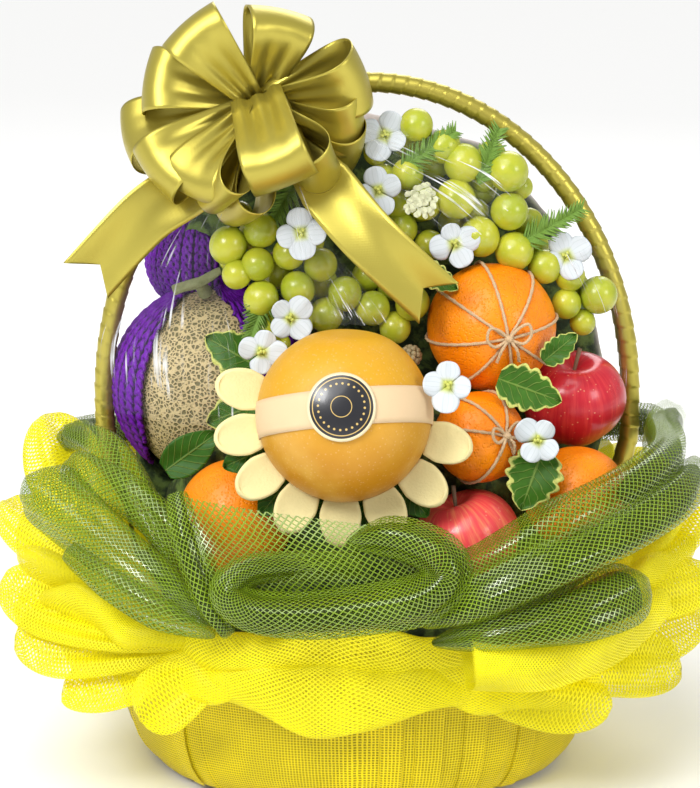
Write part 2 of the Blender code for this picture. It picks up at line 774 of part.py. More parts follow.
def make_flower(name, across, up, turn, balls, material, petals=4, radius=FLOWER_RADIUS,
                depth=None):
    """A flower: a cupped star of round petals, thicker at its middle."""
    if depth is None:
        depth = front_of(across, up, radius, balls, -0.006)
    lean = Matrix.Rotation(-VIEW_TILT, 3, "X")
    centre = Vector((across, depth, up))
    outline = []
    per_petal = 4
    for step in range(petals * per_petal):
        angle = math.tau * step / (petals * per_petal)
        swell = abs(math.sin(angle * petals / 2)) ** 0.5
        reach = radius * (0.34 + 0.66 * swell)
        spot = angle + math.radians(turn)
        cup = -0.0022 * (reach / radius) ** 2
        outline.append(Vector((reach * math.cos(spot), cup, reach * math.sin(spot))))
    points = []
    for side in (-0.0005, 0.0005):
        points += [centre + lean @ (spot + Vector((0, side, 0))) for spot in outline]
    count = len(outline)
    front, rear = len(points), len(points) + 1
    points += [centre + lean @ Vector((0, -0.0018, 0)), centre + lean @ Vector((0, 0.0008, 0))]
    faces = []
    for step in range(count):
        following = (step + 1) % count
        faces.append((step, following, front))
        faces.append((count + following, count + step, rear))
        faces.append((step, count + step, count + following, following))
    return object_from_faces(name, points, faces, material)


def make_leaf(name, across, up, length, width, turn, balls, material, depth=None):
    """A thin wavy leaf that leans back on what lies behind it."""
    if depth is None:
        depth = front_of(across, up, 0.45 * length, balls, -0.004)
    lean = Matrix.Rotation(-VIEW_TILT, 3, "X") @ Matrix.Rotation(-math.radians(turn), 3, "Y")
    centre = Vector((across, depth, up))
    rows = []
    for share, half in ((0, 0.10), (0.33, 1.0), (0.67, 0.85), (1.0, 0.08)):
        row = []
        for side in (-1, 0, 1):
            wave = 0.0008 * math.sin(9 * share + 2 * side) - 0.0012 * side ** 2
            spot = Vector(((share - 0.5) * length, wave, side * half * width / 2))
            row.append(centre + lean @ spot)
        rows.append(row)
    return plate(name, rows, 0.0009, material)


def make_tucked_leaf(name, angle, length, width, material):
    """A leaf that lies flat behind the foam petals and points away from the pear."""
    pear_centre, _ = fruit_place("pear")
    lean = Matrix.Rotation(-VIEW_TILT, 3, "X")
    angle = math.radians(angle)
    outward = Vector((math.cos(angle), 0, math.sin(angle)))
    side = Vector((-math.sin(angle), 0, math.cos(angle)))
    rows = []
    for share, half in ((0, 0.45), (0.33, 1.0), (0.67, 0.80), (1.0, 0.08)):
        row = []
        for across in (-1, 0, 1):
            spot = outward * (TUCKED_REACH + (share - 0.5) * length) + side * half * across * width / 2
            row.append(pear_centre + lean @ (spot + Vector((0, 0.0165 - 0.001 * across ** 2, 0))))
        rows.append(row)
    return plate(name, rows, 0.0009, material)


def make_sprig(name, across, up, length, turn, balls, material):
    """A conifer twig: a flat feather of needles along a stem."""
    depth = front_of(across, up, 0.4 * length, balls, -0.0045)
    lean = Matrix.Rotation(-VIEW_TILT, 3, "X") @ Matrix.Rotation(-math.radians(turn), 3, "Y")
    centre = Vector((across, depth, up))
    needles = 4
    outline = []
    for side in (1, -1):
        steps = range(2 * needles + 1) if side == 1 else range(2 * needles, -1, -1)
        for step in steps:
            share = step / (2 * needles)
            out = (0.0016 if step % 2 == 0 else 0.0085 * (1 - 0.5 * share)) * side
            along = (share - 0.5) * length + (0.003 if step % 2 else 0.0)
            outline.append(Vector((along, 0, out)))
    points = []
    for side in (-0.0006, 0.0006):
        points += [centre + lean @ (spot + Vector((0, side, 0))) for spot in outline]
    count = len(outline)
    half = count // 2
    faces = []
    for step in range(half - 1):
        low, high = step, count - 1 - step
        faces.append((low, low + 1, high - 1, high))
        faces.append((count + high, count + high - 1, count + low + 1, count + low))
    for step in range(count):
        following = (step + 1) % count
        faces.append((step, count + step, count + following, following))
    return object_from_faces(name, points, faces, material)


# ---------------------------------------------------------------- nets
def lobe(angle):
    """0 where a tie pulls the frill in and 1 in the middle of a puff."""
    swing = math.sin((angle - math.radians(TIE_ANGLE)) * TIE_COUNT / 2)
    return abs(swing) ** 0.55


def upper_frill_section(angle):
    """The upper layer of yellow net: low in front, high behind, full at the sides."""
    back = (1 - math.cos(angle)) / 2
    puff = lobe(angle)
    root = (0.1550, 0.1070)
    tip_width = 0.158 + puff * (0.020 + 0.028 * math.sin(angle) ** 2)
    tip_width += 0.012 * back * puff
    tip = (tip_width, 0.117 + 0.088 * back - 0.022 * back * (1 - puff) + 0.004 * puff)
    return lens_section(root, tip, 0.004 + 0.006 * puff, 0.003 + 0.004 * puff)


def lower_frill_section(angle):
    """The lower layer of yellow net, which hangs outside the bowl."""
    back = (1 - math.cos(angle)) / 2
    puff = lobe(angle)
    root = (0.1575, 0.0965)
    tip = (0.160 + puff * (0.028 + 0.012 * math.sin(angle) ** 2),
           0.092 - puff * (0.038 - 0.040 * back))
    return lens_section(root, tip, 0.003 + 0.005 * puff, 0.003 + 0.003 * puff)


def lens_section(root, tip, belly, edge):
    """A closed six-point section between a root and a tip."""
    root, tip = Vector(root), Vector(tip)
    along = (tip - root).normalized()
    above = Vector((-along.y, along.x))
    middle = root.lerp(tip, 0.55)
    spots = (root + above * 0.0012, middle + above * belly, tip + above * edge,
             tip - above * edge, middle - above * belly, root - above * 0.0012)
    return [(spot.x, spot.y) for spot in spots]


def roll_objects(grow=0.0, sides=5):
    """The green rolls as separate tubes."""
    pieces = []
    for name, (route, radii) in GREEN_ROLLS.items():
        samples = len(route) + 1
        sized = [radius * 0.001 + grow for radius in radii]
        pieces.append(tube(name, smooth_route([mm(point) for point in route], sized, samples),
                           sides))
    pieces.append(make_panel(grow))
    return pieces


def make_panel(grow=0.0):
    """The flat stretch of green net in front of the left orange."""
    columns, rows = 6, 3
    ones = [1.0] * len(PANEL_TOP)
    top = [spot for spot, _ in smooth_route([mm(p) for p in PANEL_TOP], ones, columns)]
    foot = [spot for spot, _ in smooth_route([mm(p) for p in PANEL_FOOT], ones, columns)]
    grid = []
    for row in range(rows):
        share = row / (rows - 1)
        bulge = Vector((0, -0.006 * math.sin(math.pi * share), 0))
        grid.append([high.lerp(low, share) + bulge for high, low in zip(top, foot)])
    return plate("panel", grid, PANEL_THICKNESS + 2 * grow)


# ---------------------------------------------------------------- the backing
def make_backing(material):
    """The tissue-covered padding that fills the bowl and the hoop and holds the fruit."""
    centre = Vector(HOOP_CENTRE)
    pad = ball("backing", centre + Vector((0, 0.024, -0.006)), 1.0, None, 20, 6,
               (HOOP_HALF_WIDTH - 0.007, 0.027, HOOP_HALF_HEIGHT - 0.012))
    for vertex in pad.data.vertices:
        middle = centre.y + 0.024
        vertex.co.y = middle + math.copysign(abs((vertex.co.y - middle) / 0.027) ** 0.45,
                                             vertex.co.y - middle) * 0.027
    mound = ball("mound", mm(MOUND_CENTRE), 0.001, None, 12, 8, MOUND_HALF_SIZES)
    rear = ball("rear", Vector((0, 0.045, 0.150)), 0.001, None, 14, 6, (118, 48, 120))
    fill_heights = (BOWL_WALL + GAP, 0.030, BOWL_HEIGHT + 0.004)
    points, rings = [], []
    for height in fill_heights:
        ring = []
        inset = 0.010 if height < 0.1 else 0.0115
        for step in range(24):
            ring.append(len(points))
            points.append(oval_point(math.tau * step / 24,
                                     profile_half_width(height) - BOWL_WALL - inset, height))
        rings.append(ring)
    faces = [tuple(rings[0])]
    for lower, upper in zip(rings, rings[1:]):
        faces += bridge(lower, upper)
    faces.append(tuple(rings[-1]))
    fill = object_from_faces("fill", points, faces)
    backing = fuse("backing", [pad, mound, rear, fill], material)
    cutters = [pocket(*fruit_place(name), FRUIT_ROOM.get(name, 0.0)) for name in FRUIT]
    cutters.append(pocket(mm(SECOND_SLEEVE[0]), SECOND_SLEEVE[1] * 0.001, 0.0))
    pear_centre, _ = fruit_place("pear")
    lean = Matrix.Rotation(-VIEW_TILT, 3, "X")
    disc = (PETAL_REACH + 0.010, 0.016, PETAL_REACH + 0.010)
    cutters.append(ball("slot", pear_centre + lean @ Vector((0, 0.008, 0)), 1.0, None, 16, 6,
                        disc, lean))
    route = hoop_route(HOOP_TUBE + 2 * SLACK)
    cutters += [tube("groove", route[:4], 6), tube("groove", route[-4:], 6)]
    carve(backing, cutters)
    return backing


def pocket(centre, radius, room):
    """A coarse ball that leaves room for a fruit and what is round it."""
    return ball("pocket", centre, (radius + room + SLACK) / 0.91, None, 10, 6)


# ---------------------------------------------------------------- the bow
def loop_rows(tip, roll, opening, root_depth, width, samples=6):
    """Rows of ribbon points from the knot out to the tip and back."""
    centre = mm(BOW_CENTRE) + Vector((0, root_depth * 0.001, 0))
    reach = mm(tip)
    length = reach.length
    out = reach.normalized()
    towards = Vector((0, -1, 0))
    across = out.cross(towards).normalized()
    across = Matrix.Rotation(math.radians(roll), 3, out) @ across
    open_way = across.cross(out).normalized()
    half = opening * 0.0005
    rows = []
    for step in range(samples):
        share = step / (samples - 1)
        angle = math.pi * (share - 0.5)
        swell = math.cos(angle)
        along = length * max(0.0, swell) ** 0.62
        lift = half * math.sin(2 * angle) * 1.15 + 0.0025 * math.sin(angle) * (1 - swell)
        spread = width * (0.24 + 0.76 * max(0.0, swell) ** 0.6) / 2
        spot = centre + out * (along + 0.004) + open_way * lift
        rows.append([spot - across * spread, spot + across * spread])
    return rows


def tail_rows(route, notch=0.010):
    """Rows of points across a ribbon tail, with a V cut into its end."""
    steps = 5
    centre_line = [spot for spot, _ in smooth_route([mm(p) for p in route], [1] * len(route), steps)]
    rows = []
    for index, spot in enumerate(centre_line):
        before = centre_line[max(index - 1, 0)]
        after = centre_line[min(index + 1, steps - 1)]
        along = (after - before).normalized()
        across = along.cross(Vector((0, -1, 0))).normalized()
        share = index / (steps - 1)
        half = TAIL_WIDTH * (0.35 + 0.65 * min(1.0, 3 * share)) / 2
        middle = spot - along * (notch if index == steps - 1 else 0.0)
        middle += Vector((0, -0.0015, 0))
        rows.append([spot - across * half, middle, spot + across * half])
    return rows


def make_bow(material):
    """Loops of ribbon joined at a knot, with a tie that goes round the hoop."""
    pieces = [ball("knot", mm(BOW_CENTRE), 0.016, None, 8, 6, (1.0, 1.2, 1.0))]
    for tip, roll, opening, root_depth in BOW_LOOPS:
        rows = loop_rows(tip, roll, opening, root_depth, RIBBON_WIDTH)
        pieces.append(plate("loop", rows, RIBBON_THICKNESS))
    for tail in (TAIL_LEFT, TAIL_RIGHT):
        pieces.append(plate("tail", tail_rows(tail), RIBBON_THICKNESS))
    route = hoop_route(HOOP_TUBE)
    knot = mm(BOW_CENTRE)
    nearest = min(range(1, len(route) - 1), key=lambda i: (route[i][0] - knot).length)
    spot = route[nearest][0]
    along = (route[nearest + 1][0] - route[nearest - 1][0]).normalized()
    side = along.cross(Vector((0, 1, 0))).normalized()
    ring_radius, ring_tube = HOOP_TUBE + SLACK + 0.0022, 0.0016
    ring = []
    for step in range(8):
        angle = math.tau * step / 8
        ring.append((spot + (side * math.cos(angle) + Vector((0, 1, 0)) * math.sin(angle))
                     * ring_radius, ring_tube))
    pieces.append(tube("tie", ring, 4, closed=True))
    bridge_route = smooth_route([spot + Vector((0, -ring_radius, 0)), knot], [0.002, 0.004], 2)
    pieces.append(tube("neck", bridge_route, 6))
    return fuse("bow", pieces, material)


# ---------------------------------------------------------------- build
def clear_scene():
    for obj in list(bpy.data.objects):
        bpy.data.objects.remove(obj)


def build():
    clear_scene()
    paint = {
        "basket": make_material("wicker", (0.34, 0.24, 0.05), 0.6),
        "yellow": make_material("yellow_net", (0.88, 0.78, 0.02), 0.55),
        "green": make_material("green_net", (0.10, 0.22, 0.02), 0.25),
        "ribbon": make_material("satin_ribbon", (0.42, 0.33, 0.06), 0.35),
        "tissue": make_material("tissue", (0.80, 0.68, 0.66), 0.8),
        "melon": make_material("melon_rind", (0.62, 0.50, 0.30), 0.8),
        "purple": make_material("purple_sleeve", (0.16, 0.01, 0.34), 0.5),
        "pear": make_material("pear_skin", (0.80, 0.42, 0.06), 0.4),
        "paper": make_material("band_paper", (0.85, 0.66, 0.42), 0.7),
        "sticker": make_material("sticker_print", (0.02, 0.02, 0.025), 0.4),
        "foam": make_material("foam", (0.90, 0.80, 0.45), 0.8),
        "orange": make_material("orange_peel", (0.95, 0.36, 0.01), 0.4),
        "twine": make_material("twine", (0.58, 0.38, 0.20), 0.9),
        "apple": make_material("apple_skin", (0.62, 0.02, 0.05), 0.3),
        "grape": make_material("grape_skin", (0.45, 0.52, 0.06), 0.25),
        "flower": make_material("flower_petal", (0.85, 0.86, 0.82), 0.6),
        "leaf": make_material("leaf", (0.05, 0.18, 0.03), 0.4),
        "stem": make_material("stem", (0.25, 0.30, 0.10), 0.7),
        "cone": make_material("pinecone", (0.45, 0.33, 0.10), 0.6),
    }
    make_basket(paint["basket"])
    make_wrap(paint["yellow"])
    tube("handle", hoop_route(HOOP_TUBE), 6, paint["ribbon"])
    make_backing(paint["tissue"])

    fruit_ball("melon", paint["melon"], 14, 8)
    make_sleeve(paint["purple"])
    make_second_sleeve(paint["purple"])
    make_melon_stem(paint["stem"])
    fruit_ball("pear", paint["pear"], 14, 9)
    make_band(paint["paper"])
    make_sticker(paint["sticker"])
    make_foam_petals(paint["foam"])
    for name in ("orange_top", "orange_mid", "orange_right", "orange_left"):
        fruit_ball(name, paint["orange"], 12, 8)
    make_twine("twine_top", "orange_top", (10, 70, 130), (0.20, -0.95, 0.05), paint["twine"])
    make_twine("twine_mid", "orange_mid", (30, 110), (0.50, -0.80, 0.25), paint["twine"])
    apple("apple_right", paint["apple"], Matrix.Rotation(math.radians(12), 3, "X"))
    apple("apple_bottom", paint["apple"], Matrix.Rotation(math.radians(-20), 3, "Y"))

    make_grapes("grapes_left", GRAPES_LEFT,
                (((-45, -30, 302), (34, 13, 20)), ((5, -28, 282), (30, 11, 14))), paint["grape"])
    make_grapes("grapes_right", GRAPES_RIGHT,
                (((50, -18, 356), (38, 12, 30)), ((98, -16, 327), (26, 9, 22))), paint["grape"])

    balls = solid_balls()
    for number, (across, up, turn, forward) in enumerate(FLOWERS, 1):
        depth = None if forward is None else forward * 0.001
        make_flower(f"flower_{number}", across * 0.001, up * 0.001, turn, balls, paint["flower"],
                    depth=depth)
    make_flower("blossom", BLOSSOM[0] * 0.001, BLOSSOM[1] * 0.001, 0, balls, paint["flower"], 6,
                BLOSSOM_RADIUS)
    for number, (across, up, length, width, turn, forward) in enumerate(LEAVES, 1):
        depth = None if forward is None else forward * 0.001
        make_leaf(f"leaf_{number}", across * 0.001, up * 0.001, length * 0.001, width * 0.001,
                  turn, balls, paint["leaf"], depth=depth)
    for number, (angle, length, width) in enumerate(TUCKED_LEAVES, len(LEAVES) + 1):
        make_tucked_leaf(f"leaf_{number}", angle, length * 0.001, width * 0.001, paint["leaf"])
    for number, (across, up, length, turn) in enumerate(SPRIGS, 1):
        make_sprig(f"sprig_{number}", across * 0.001, up * 0.001, length * 0.001, turn, balls,
                   paint["leaf"])
    cone = bead("pinecone", mm(PINECONE[0]), PINECONE[1] * 0.001)
    cone.data.materials.append(paint["cone"])

    fuse("net_green", roll_objects(), paint["green"])
    upper = oval_ring_solid("net_yellow_upper", upper_frill_section, 42, paint["yellow"])
    carve(upper, roll_objects(SLACK))
    oval_ring_solid("net_yellow_lower", lower_frill_section, 42, paint["yellow"])

    make_bow(paint["ribbon"])


build()
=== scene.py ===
"""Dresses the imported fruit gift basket: nets, ribbon, fruit, flowers, film and a plain stage.

Lengths are in metres.  Lists of places are written in millimetres and turned into metres by
the function mm.  +X is to the right, -Y is the front and +Z is up.
"""
import math
import random

import bpy
from bpy.props import FloatProperty, FloatVectorProperty, IntProperty, PointerProperty
from mathutils import Matrix, Vector, noise


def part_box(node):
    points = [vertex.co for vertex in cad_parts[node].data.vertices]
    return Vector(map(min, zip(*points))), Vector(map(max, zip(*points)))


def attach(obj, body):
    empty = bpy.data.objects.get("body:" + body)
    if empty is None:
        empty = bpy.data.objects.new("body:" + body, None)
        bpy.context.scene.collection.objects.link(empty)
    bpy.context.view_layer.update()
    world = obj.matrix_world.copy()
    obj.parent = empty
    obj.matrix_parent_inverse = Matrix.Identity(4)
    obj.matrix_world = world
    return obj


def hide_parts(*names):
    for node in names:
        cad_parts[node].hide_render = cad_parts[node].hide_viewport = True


bl_info = {
    "name": "Fruit gift basket",
    "version": (1, 0, 0),
    "blender": (4, 5, 0),
    "location": "3D View > Sidebar > Gift Basket",
    "description": "Builds the looks of a fruit gift basket round its solids",
    "category": "Add Mesh",
}

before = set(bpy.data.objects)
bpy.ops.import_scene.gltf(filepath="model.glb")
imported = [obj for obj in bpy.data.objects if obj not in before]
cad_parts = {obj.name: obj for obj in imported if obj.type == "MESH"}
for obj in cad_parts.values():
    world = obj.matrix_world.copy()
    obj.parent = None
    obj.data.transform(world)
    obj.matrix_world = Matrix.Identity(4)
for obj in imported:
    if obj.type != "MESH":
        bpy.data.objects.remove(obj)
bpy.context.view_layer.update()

# ---------------------------------------------------------------- shared places and sizes
BOWL_DEPTH_RATIO = 0.85
BOWL_SQUARENESS = 2.3
BOWL_PROFILE = ((0.000, 0.114), (0.004, 0.124), (0.016, 0.134), (0.034, 0.1395), (0.110, 0.150))
HOOP_CENTRE = Vector((0.006, 0.0, 0.218))
HOOP_HALF_WIDTH = 0.1575
HOOP_HALF_HEIGHT = 0.1915
HOOP_TUBE = 0.0056
HOOP_LEAVES_AT = math.radians(-10)
HOOP_WAIST = (0.1370, 0.112)
HOOP_FOOT = (0.1270, 0.050)
VIEW_TILT = math.radians(15)

FRUIT = {
    "melon": ((-83.5, 11, 225), 57.5),
    "pear": ((-7, -118, 241), 48.9),
    "orange_top": ((78, -46, 274), 37.4),
    "orange_mid": ((70, -83, 218), 26.2),
    "orange_right": ((127, -75, 179), 30.1),
    "orange_left": ((-70, -82, 170), 33.4),
    "apple_right": ((127.5, -28, 226.5), 31.0),
    "apple_bottom": ((63, -90, 160), 30.8),
    "second_fruit": ((-92, 40, 296), 36.0),
}

GRAPES_LEFT = (
    (-74, -50, 323, 10.9), (-55, -50, 332, 10.3), (-57, -55, 313, 9.5), (-39, -54, 319, 9.4),
    (-69, -55, 307, 8.6), (-55, -57, 293, 10.3), (-21, -52, 312, 9.7), (-34, -57, 299, 9.8),
    (-67, -46, 341, 6.9), (-7, -52, 295, 9.8), (-18, -50, 282, 10.1), (9, -50, 286, 10.1),
    (-52, -56, 274, 9.2), (-34, -52, 279, 9.8), (22, -48, 274, 9.2), (32, -50, 289, 9.8),
    (-44, -54, 266, 5.8), (-72, -34, 312, 8.5), (-46, -38, 304, 9.0), (-28, -36, 322, 9.0),
    (-20, -36, 298, 9.0), (6, -36, 302, 9.0), (20, -36, 296, 8.5), (-60, -36, 326, 9.0),
)
GRAPES_RIGHT = (
    (34, -34, 390, 9.7), (50, -32, 377, 9.8), (61, -35, 368, 11.2), (87, -34, 363, 11.8),
    (11, -32, 374, 7.5), (14, -34, 358, 9.2), (29, -37, 362, 9.2), (57, -40, 348, 11.3),
    (39, -38, 345, 9.8), (24, -33, 344, 8.7), (26, -35, 330, 9.0), (88, -36, 340, 11.0),
    (71, -40, 326, 11.3), (42, -34, 320, 8.7), (91, -38, 317, 11.3), (109, -34, 307, 9.9),
    (124, -33, 301, 8.7), (141, -29, 289, 11.1), (122, -34, 285, 8.7), (69, -27, 338, 7.5),
    (132, -30, 273, 7.6), (73, -27, 357, 7.5), (95, -25, 352, 6.9), (45, -20, 365, 9.0),
    (72, -18, 350, 9.5), (56, -20, 330, 9.0), (100, -20, 330, 9.0), (36, -20, 340, 9.0),
    (78, -20, 370, 8.5), (104, -18, 316, 8.5), (30, -18, 376, 8.5), (128, -18, 292, 8.0),
)

FLOWER_TURNS = (10, 40, 80, 20, 0, 55, 30, 70, 15)
# leaves: length and width in millimetres, turn in degrees
LEAVES = ((34, 26, 150), (32, 24, 200), (34, 24, -20), (32, 30, 250), (24, 14, -30),
          (22, 14, 40), (34, 20, 36))
GLOSSY_LEAF = 7
TUCKED_LEAF_ANGLES = (204, 230, 256, 284, 309)
# sprigs of pine: length in millimetres, turn in degrees
SPRIGS = ((34, 35), (30, 70), (36, 30), (30, 240), (22, 250))

GREEN_ROLLS = {
    "finger_a": (((-105, -120, 150), (-124, -86, 181), (-144, -52, 199), (-163, -28, 203)),
                 (7, 11, 12, 10)),
    "finger_b": (((-76, -135, 130), (-97, -122, 163), (-126, -98, 184), (-157, -66, 190)),
                 (7, 12, 14, 13)),
    "finger_c": (((-82, -143, 126), (-112, -133, 146), (-145, -108, 164), (-173, -78, 178)),
                 (7, 13, 18, 20)),
    "finger_d": (((-79, -152, 122), (-112, -146, 134), (-140, -130, 146), (-158, -112, 154)),
                 (6, 9, 10, 8)),
    "lip": (((-101, -123, 196), (-95, -137, 174), (-83, -149, 143), (-72, -148, 122)),
            (5, 8, 8, 5)),
    "fold": (((-6, -150, 176), (20, -156, 181), (43, -162, 174), (50, -166, 161),
              (36, -168, 149), (8, -167, 143), (-28, -166, 139), (-58, -163, 141),
              (-71, -160, 151), (-60, -155, 161), (-36, -152, 163), (-4, -150, 163)),
             (8, 12, 14, 15, 15, 14, 13, 12, 11, 9, 8, 7)),
    "right_a": (((51, -150, 155), (79, -153, 165), (112, -146, 182), (149, -118, 193),
                 (177, -72, 201), (180, -30, 206), (188, 6, 204)),
                (12, 17, 18, 17, 14, 12, 11)),
    "right_b": (((36, -156, 130), (68, -168, 151), (103, -166, 167), (143, -142, 177),
                 (176, -102, 184), (192, -58, 186)), (8, 13, 15, 15, 14, 12)),
    "right_c": (((42, -153, 118), (79, -166, 130), (118, -158, 137), (146, -140, 142)),
                (6, 11, 17, 18)),
    "behind": (((188, 4, 202), (172, 52, 190), (134, 92, 178), (70, 112, 168), (0, 118, 164),
                (-70, 112, 166), (-130, 90, 176), (-165, 44, 186), (-172, 6, 192)),
               (11, 13, 13, 13, 13, 13, 13, 12, 8)),
}
PANEL_TOP = ((-100, -127, 196), (-60, -141, 193), (-10, -150, 188), (34, -154, 184))
PANEL_FOOT = ((-80, -149, 136), (-40, -156, 134), (6, -158, 136), (40, -158, 142))

BOW_CENTRE = (-57, -42, 404)
# loops of the bow: tip seen from the knot, roll in degrees, opening, depth of the root
BOW_LOOPS = (
    ((-38, -6, 46), 5, 18, -2), ((-62, -8, 13), 20, 20, 8), ((-75, -2, -24), 50, 18, 12),
    ((-58, -24, -38), 25, 20, 0), ((-36, -30, -44), 40, 16, -8), ((-20, -38, -48), 78, 12, -10),
    ((-8, -30, -62), 70, 14, 2), ((16, -44, -40), 0, 20, -12), ((14, -8, 51), 15, 20, 6),
    ((60, -10, 18), 20, 20, -2), ((58, -18, -9), 30, 18, 8), ((40, -34, -33), 70, 16, -4),
    ((57, -14, -29), 45, 16, 14),
)
LOOP_OVER_KNOT = 8
TAIL_LEFT = ((-66, -42, 388), (-92, -48, 361), (-121, -56, 341), (-155, -60, 305))
TAIL_RIGHT = ((-40, -50, 385), (-18, -64, 361), (8, -80, 333), (46, -92, 299))


def mm(values):
    """Return a point written in millimetres as a vector in metres."""
    return Vector(values) * 0.001


# ---------------------------------------------------------------- settings
class GiftNets(bpy.types.PropertyGroup):
    """Sizes and colours of the two nets and the skirt."""

    green_pitch: FloatProperty(
        name="Green pitch", description="Distance between two threads of the green net",
        default=0.0022, min=0.0005, max=0.01, unit="LENGTH")
    yellow_pitch: FloatProperty(
        name="Yellow pitch", description="Distance between two threads of the yellow net",
        default=0.0017, min=0.0005, max=0.01, unit="LENGTH")
    green: FloatVectorProperty(
        name="Green", description="Colour of the green net", subtype="COLOR",
        default=(0.210, 0.325, 0.014), min=0.0, max=1.0)
    yellow: FloatVectorProperty(
        name="Yellow", description="Colour of the yellow net", subtype="COLOR",
        default=(0.92, 0.83, 0.008), min=0.0, max=1.0)
    skirt: FloatVectorProperty(
        name="Skirt", description="Colour of the net round the bowl", subtype="COLOR",
        default=(0.90, 0.72, 0.004), min=0.0, max=1.0)


class GiftRibbon(bpy.types.PropertyGroup):
    """Sizes and colour of the satin ribbon."""

    width: FloatProperty(
        name="Width", description="Width of the ribbon in the bow's loops",
        default=0.038, min=0.01, max=0.08, unit="LENGTH")
    tail_width: FloatProperty(
        name="Tail width", description="Width of the bow's two tails",
        default=0.033, min=0.01, max=0.08, unit="LENGTH")
    winding: FloatProperty(
        name="Winding", description="Distance between two turns of ribbon on the handle",
        default=0.0103, min=0.004, max=0.03, unit="LENGTH")
    colour: FloatVectorProperty(
        name="Colour", description="Colour of the satin", subtype="COLOR",
        default=(0.52, 0.44, 0.075), min=0.0, max=1.0)


class GiftFruit(bpy.types.PropertyGroup):
    """Colours of the fruit and what is round it."""

    orange: FloatVectorProperty(
        name="Orange", description="Colour of the orange peel", subtype="COLOR",
        default=(0.98, 0.28, 0.001), min=0.0, max=1.0)
    pear: FloatVectorProperty(
        name="Pear", description="Colour of the pear's skin", subtype="COLOR",
        default=(0.66, 0.34, 0.016), min=0.0, max=1.0)
    apple: FloatVectorProperty(
        name="Apple", description="Colour of the apples' skin", subtype="COLOR",
        default=(0.56, 0.012, 0.030), min=0.0, max=1.0)
    # partly the paler apple's own pinker blush, partly painted light that makes up for the shade
    # it sits in
    blush_and_painted_light: FloatVectorProperty(
        name="Blush", description="Colour of the paler apple's skin", subtype="COLOR",
        default=(0.92, 0.075, 0.085), min=0.0, max=1.0)
    grape: FloatVectorProperty(
        name="Grape", description="Colour of the grapes' skin", subtype="COLOR",
        default=(0.50, 0.51, 0.036), min=0.0, max=1.0)
    rind: FloatVectorProperty(
        name="Rind", description="Colour of the melon's raised netting", subtype="COLOR",
        default=(0.62, 0.49, 0.25), min=0.0, max=1.0)
    sleeve: FloatVectorProperty(
        name="Sleeve", description="Colour of the knitted sleeve", subtype="COLOR",
        default=(0.120, 0.005, 0.30), min=0.0, max=1.0)


class GiftStage(bpy.types.PropertyGroup):
    """Light and camera."""

    lens: FloatProperty(
        name="Lens", description="Focal length of the camera", default=133.25,
        min=20.0, max=300.0, unit="CAMERA")
    key_light: FloatProperty(
        name="Key light", description="Power of the lamps that give the highlights",
        default=11.0, min=0.0, max=500.0, unit="POWER")
    sun: FloatProperty(
        name="Sun", description="Strength of the soft light from the upper left", default=1.9,
        min=0.0, max=20.0)
    sky: FloatProperty(
        name="Sky", description="Strength of the even light from all round", default=0.52,
        min=0.0, max=5.0)
    floor_segments: IntProperty(
        name="Floor cuts", description="Cuts along one side of the floor", default=2,
        min=1, max=50)


# ---------------------------------------------------------------- modelling helpers
# distances within which points are merged: along a seam, and in folded net and thin twine
SEAM, FINE_SEAM = 0.00001, 0.000001


def deselect_all():
    if bpy.context.object and bpy.context.object.mode != "OBJECT":
        bpy.ops.object.mode_set(mode="OBJECT")
    bpy.ops.object.select_all(action="DESELECT")


def name_piece(name):
    """Give the object just added its name and put its place into its mesh."""
    piece = bpy.context.object
    piece.name = name
    piece.data.name = name
    bpy.ops.object.transform_apply(location=True, rotation=True, scale=True)
    return piece


def select_only(*pieces):
    deselect_all()
    for piece in pieces:
        piece.select_set(True)
    bpy.context.view_layer.objects.active = pieces[0]


def join_pieces(pieces, name):
    """Join several pieces into one object, with one mesh."""
    select_only(*pieces)
    if len(pieces) > 1:
        bpy.ops.object.join()
    piece = bpy.context.object
    piece.name = name
    piece.data.name = name
    return piece


def merge_and_face_out(piece, distance=SEAM):
    """Close seams and poles and turn all faces outwards."""
    select_only(piece)
    bpy.ops.object.mode_set(mode="EDIT")
    bpy.ops.mesh.select_all(action="SELECT")
    bpy.ops.mesh.remove_doubles(threshold=distance)
    bpy.ops.mesh.normals_make_consistent(inside=False)
    bpy.ops.object.mode_set(mode="OBJECT")


def apply_modifier(piece, kind, **settings):
    select_only(piece)
    modifier = piece.modifiers.new(kind.lower(), kind)
    for key, value in settings.items():
        setattr(modifier, key, value)
    bpy.ops.object.modifier_apply(modifier=modifier.name)


def finish_piece(piece, material, slot, *nodes):
    """Smooth the piece, give it its finish and tie it to the frame."""
    piece.data.materials.clear()
    piece.data.materials.append(material)
    for face in piece.data.polygons:
        face.material_index = 0
        face.use_smooth = True
    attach(piece, "root")
    if nodes:
        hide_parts(*nodes)
    return piece


def shaped_grid(name, across, along, place, size=(1.0, 1.0)):
    """A grid whose points are put at place(u, v), with u and v from 0 to 1.

    Its UV map is in metres where size is the cut size of the sheet.
    """
    deselect_all()
    bpy.ops.mesh.primitive_grid_add(x_subdivisions=across, y_subdivisions=along, size=1.0)
    piece = name_piece(name)
    for vertex in piece.data.vertices:
        vertex.co = place(vertex.co.x + 0.5, vertex.co.y + 0.5)
    for corner in piece.data.uv_layers[0].data:
        corner.uv = (corner.uv[0] * size[0], corner.uv[1] * size[1])
    return piece


def ball(name, centre, radius, segments=96, rings=64, stretch=(1, 1, 1)):
    """A ball at its place, stretched along the axes."""
    deselect_all()
    bpy.ops.mesh.primitive_uv_sphere_add(segments=segments, ring_count=rings, radius=radius,
                                         location=centre, scale=stretch)
    return name_piece(name)


def reshape(piece, move):
    """Put every point of a piece where move(point) says."""
    for vertex in piece.data.vertices:
        vertex.co = move(vertex.co.copy())


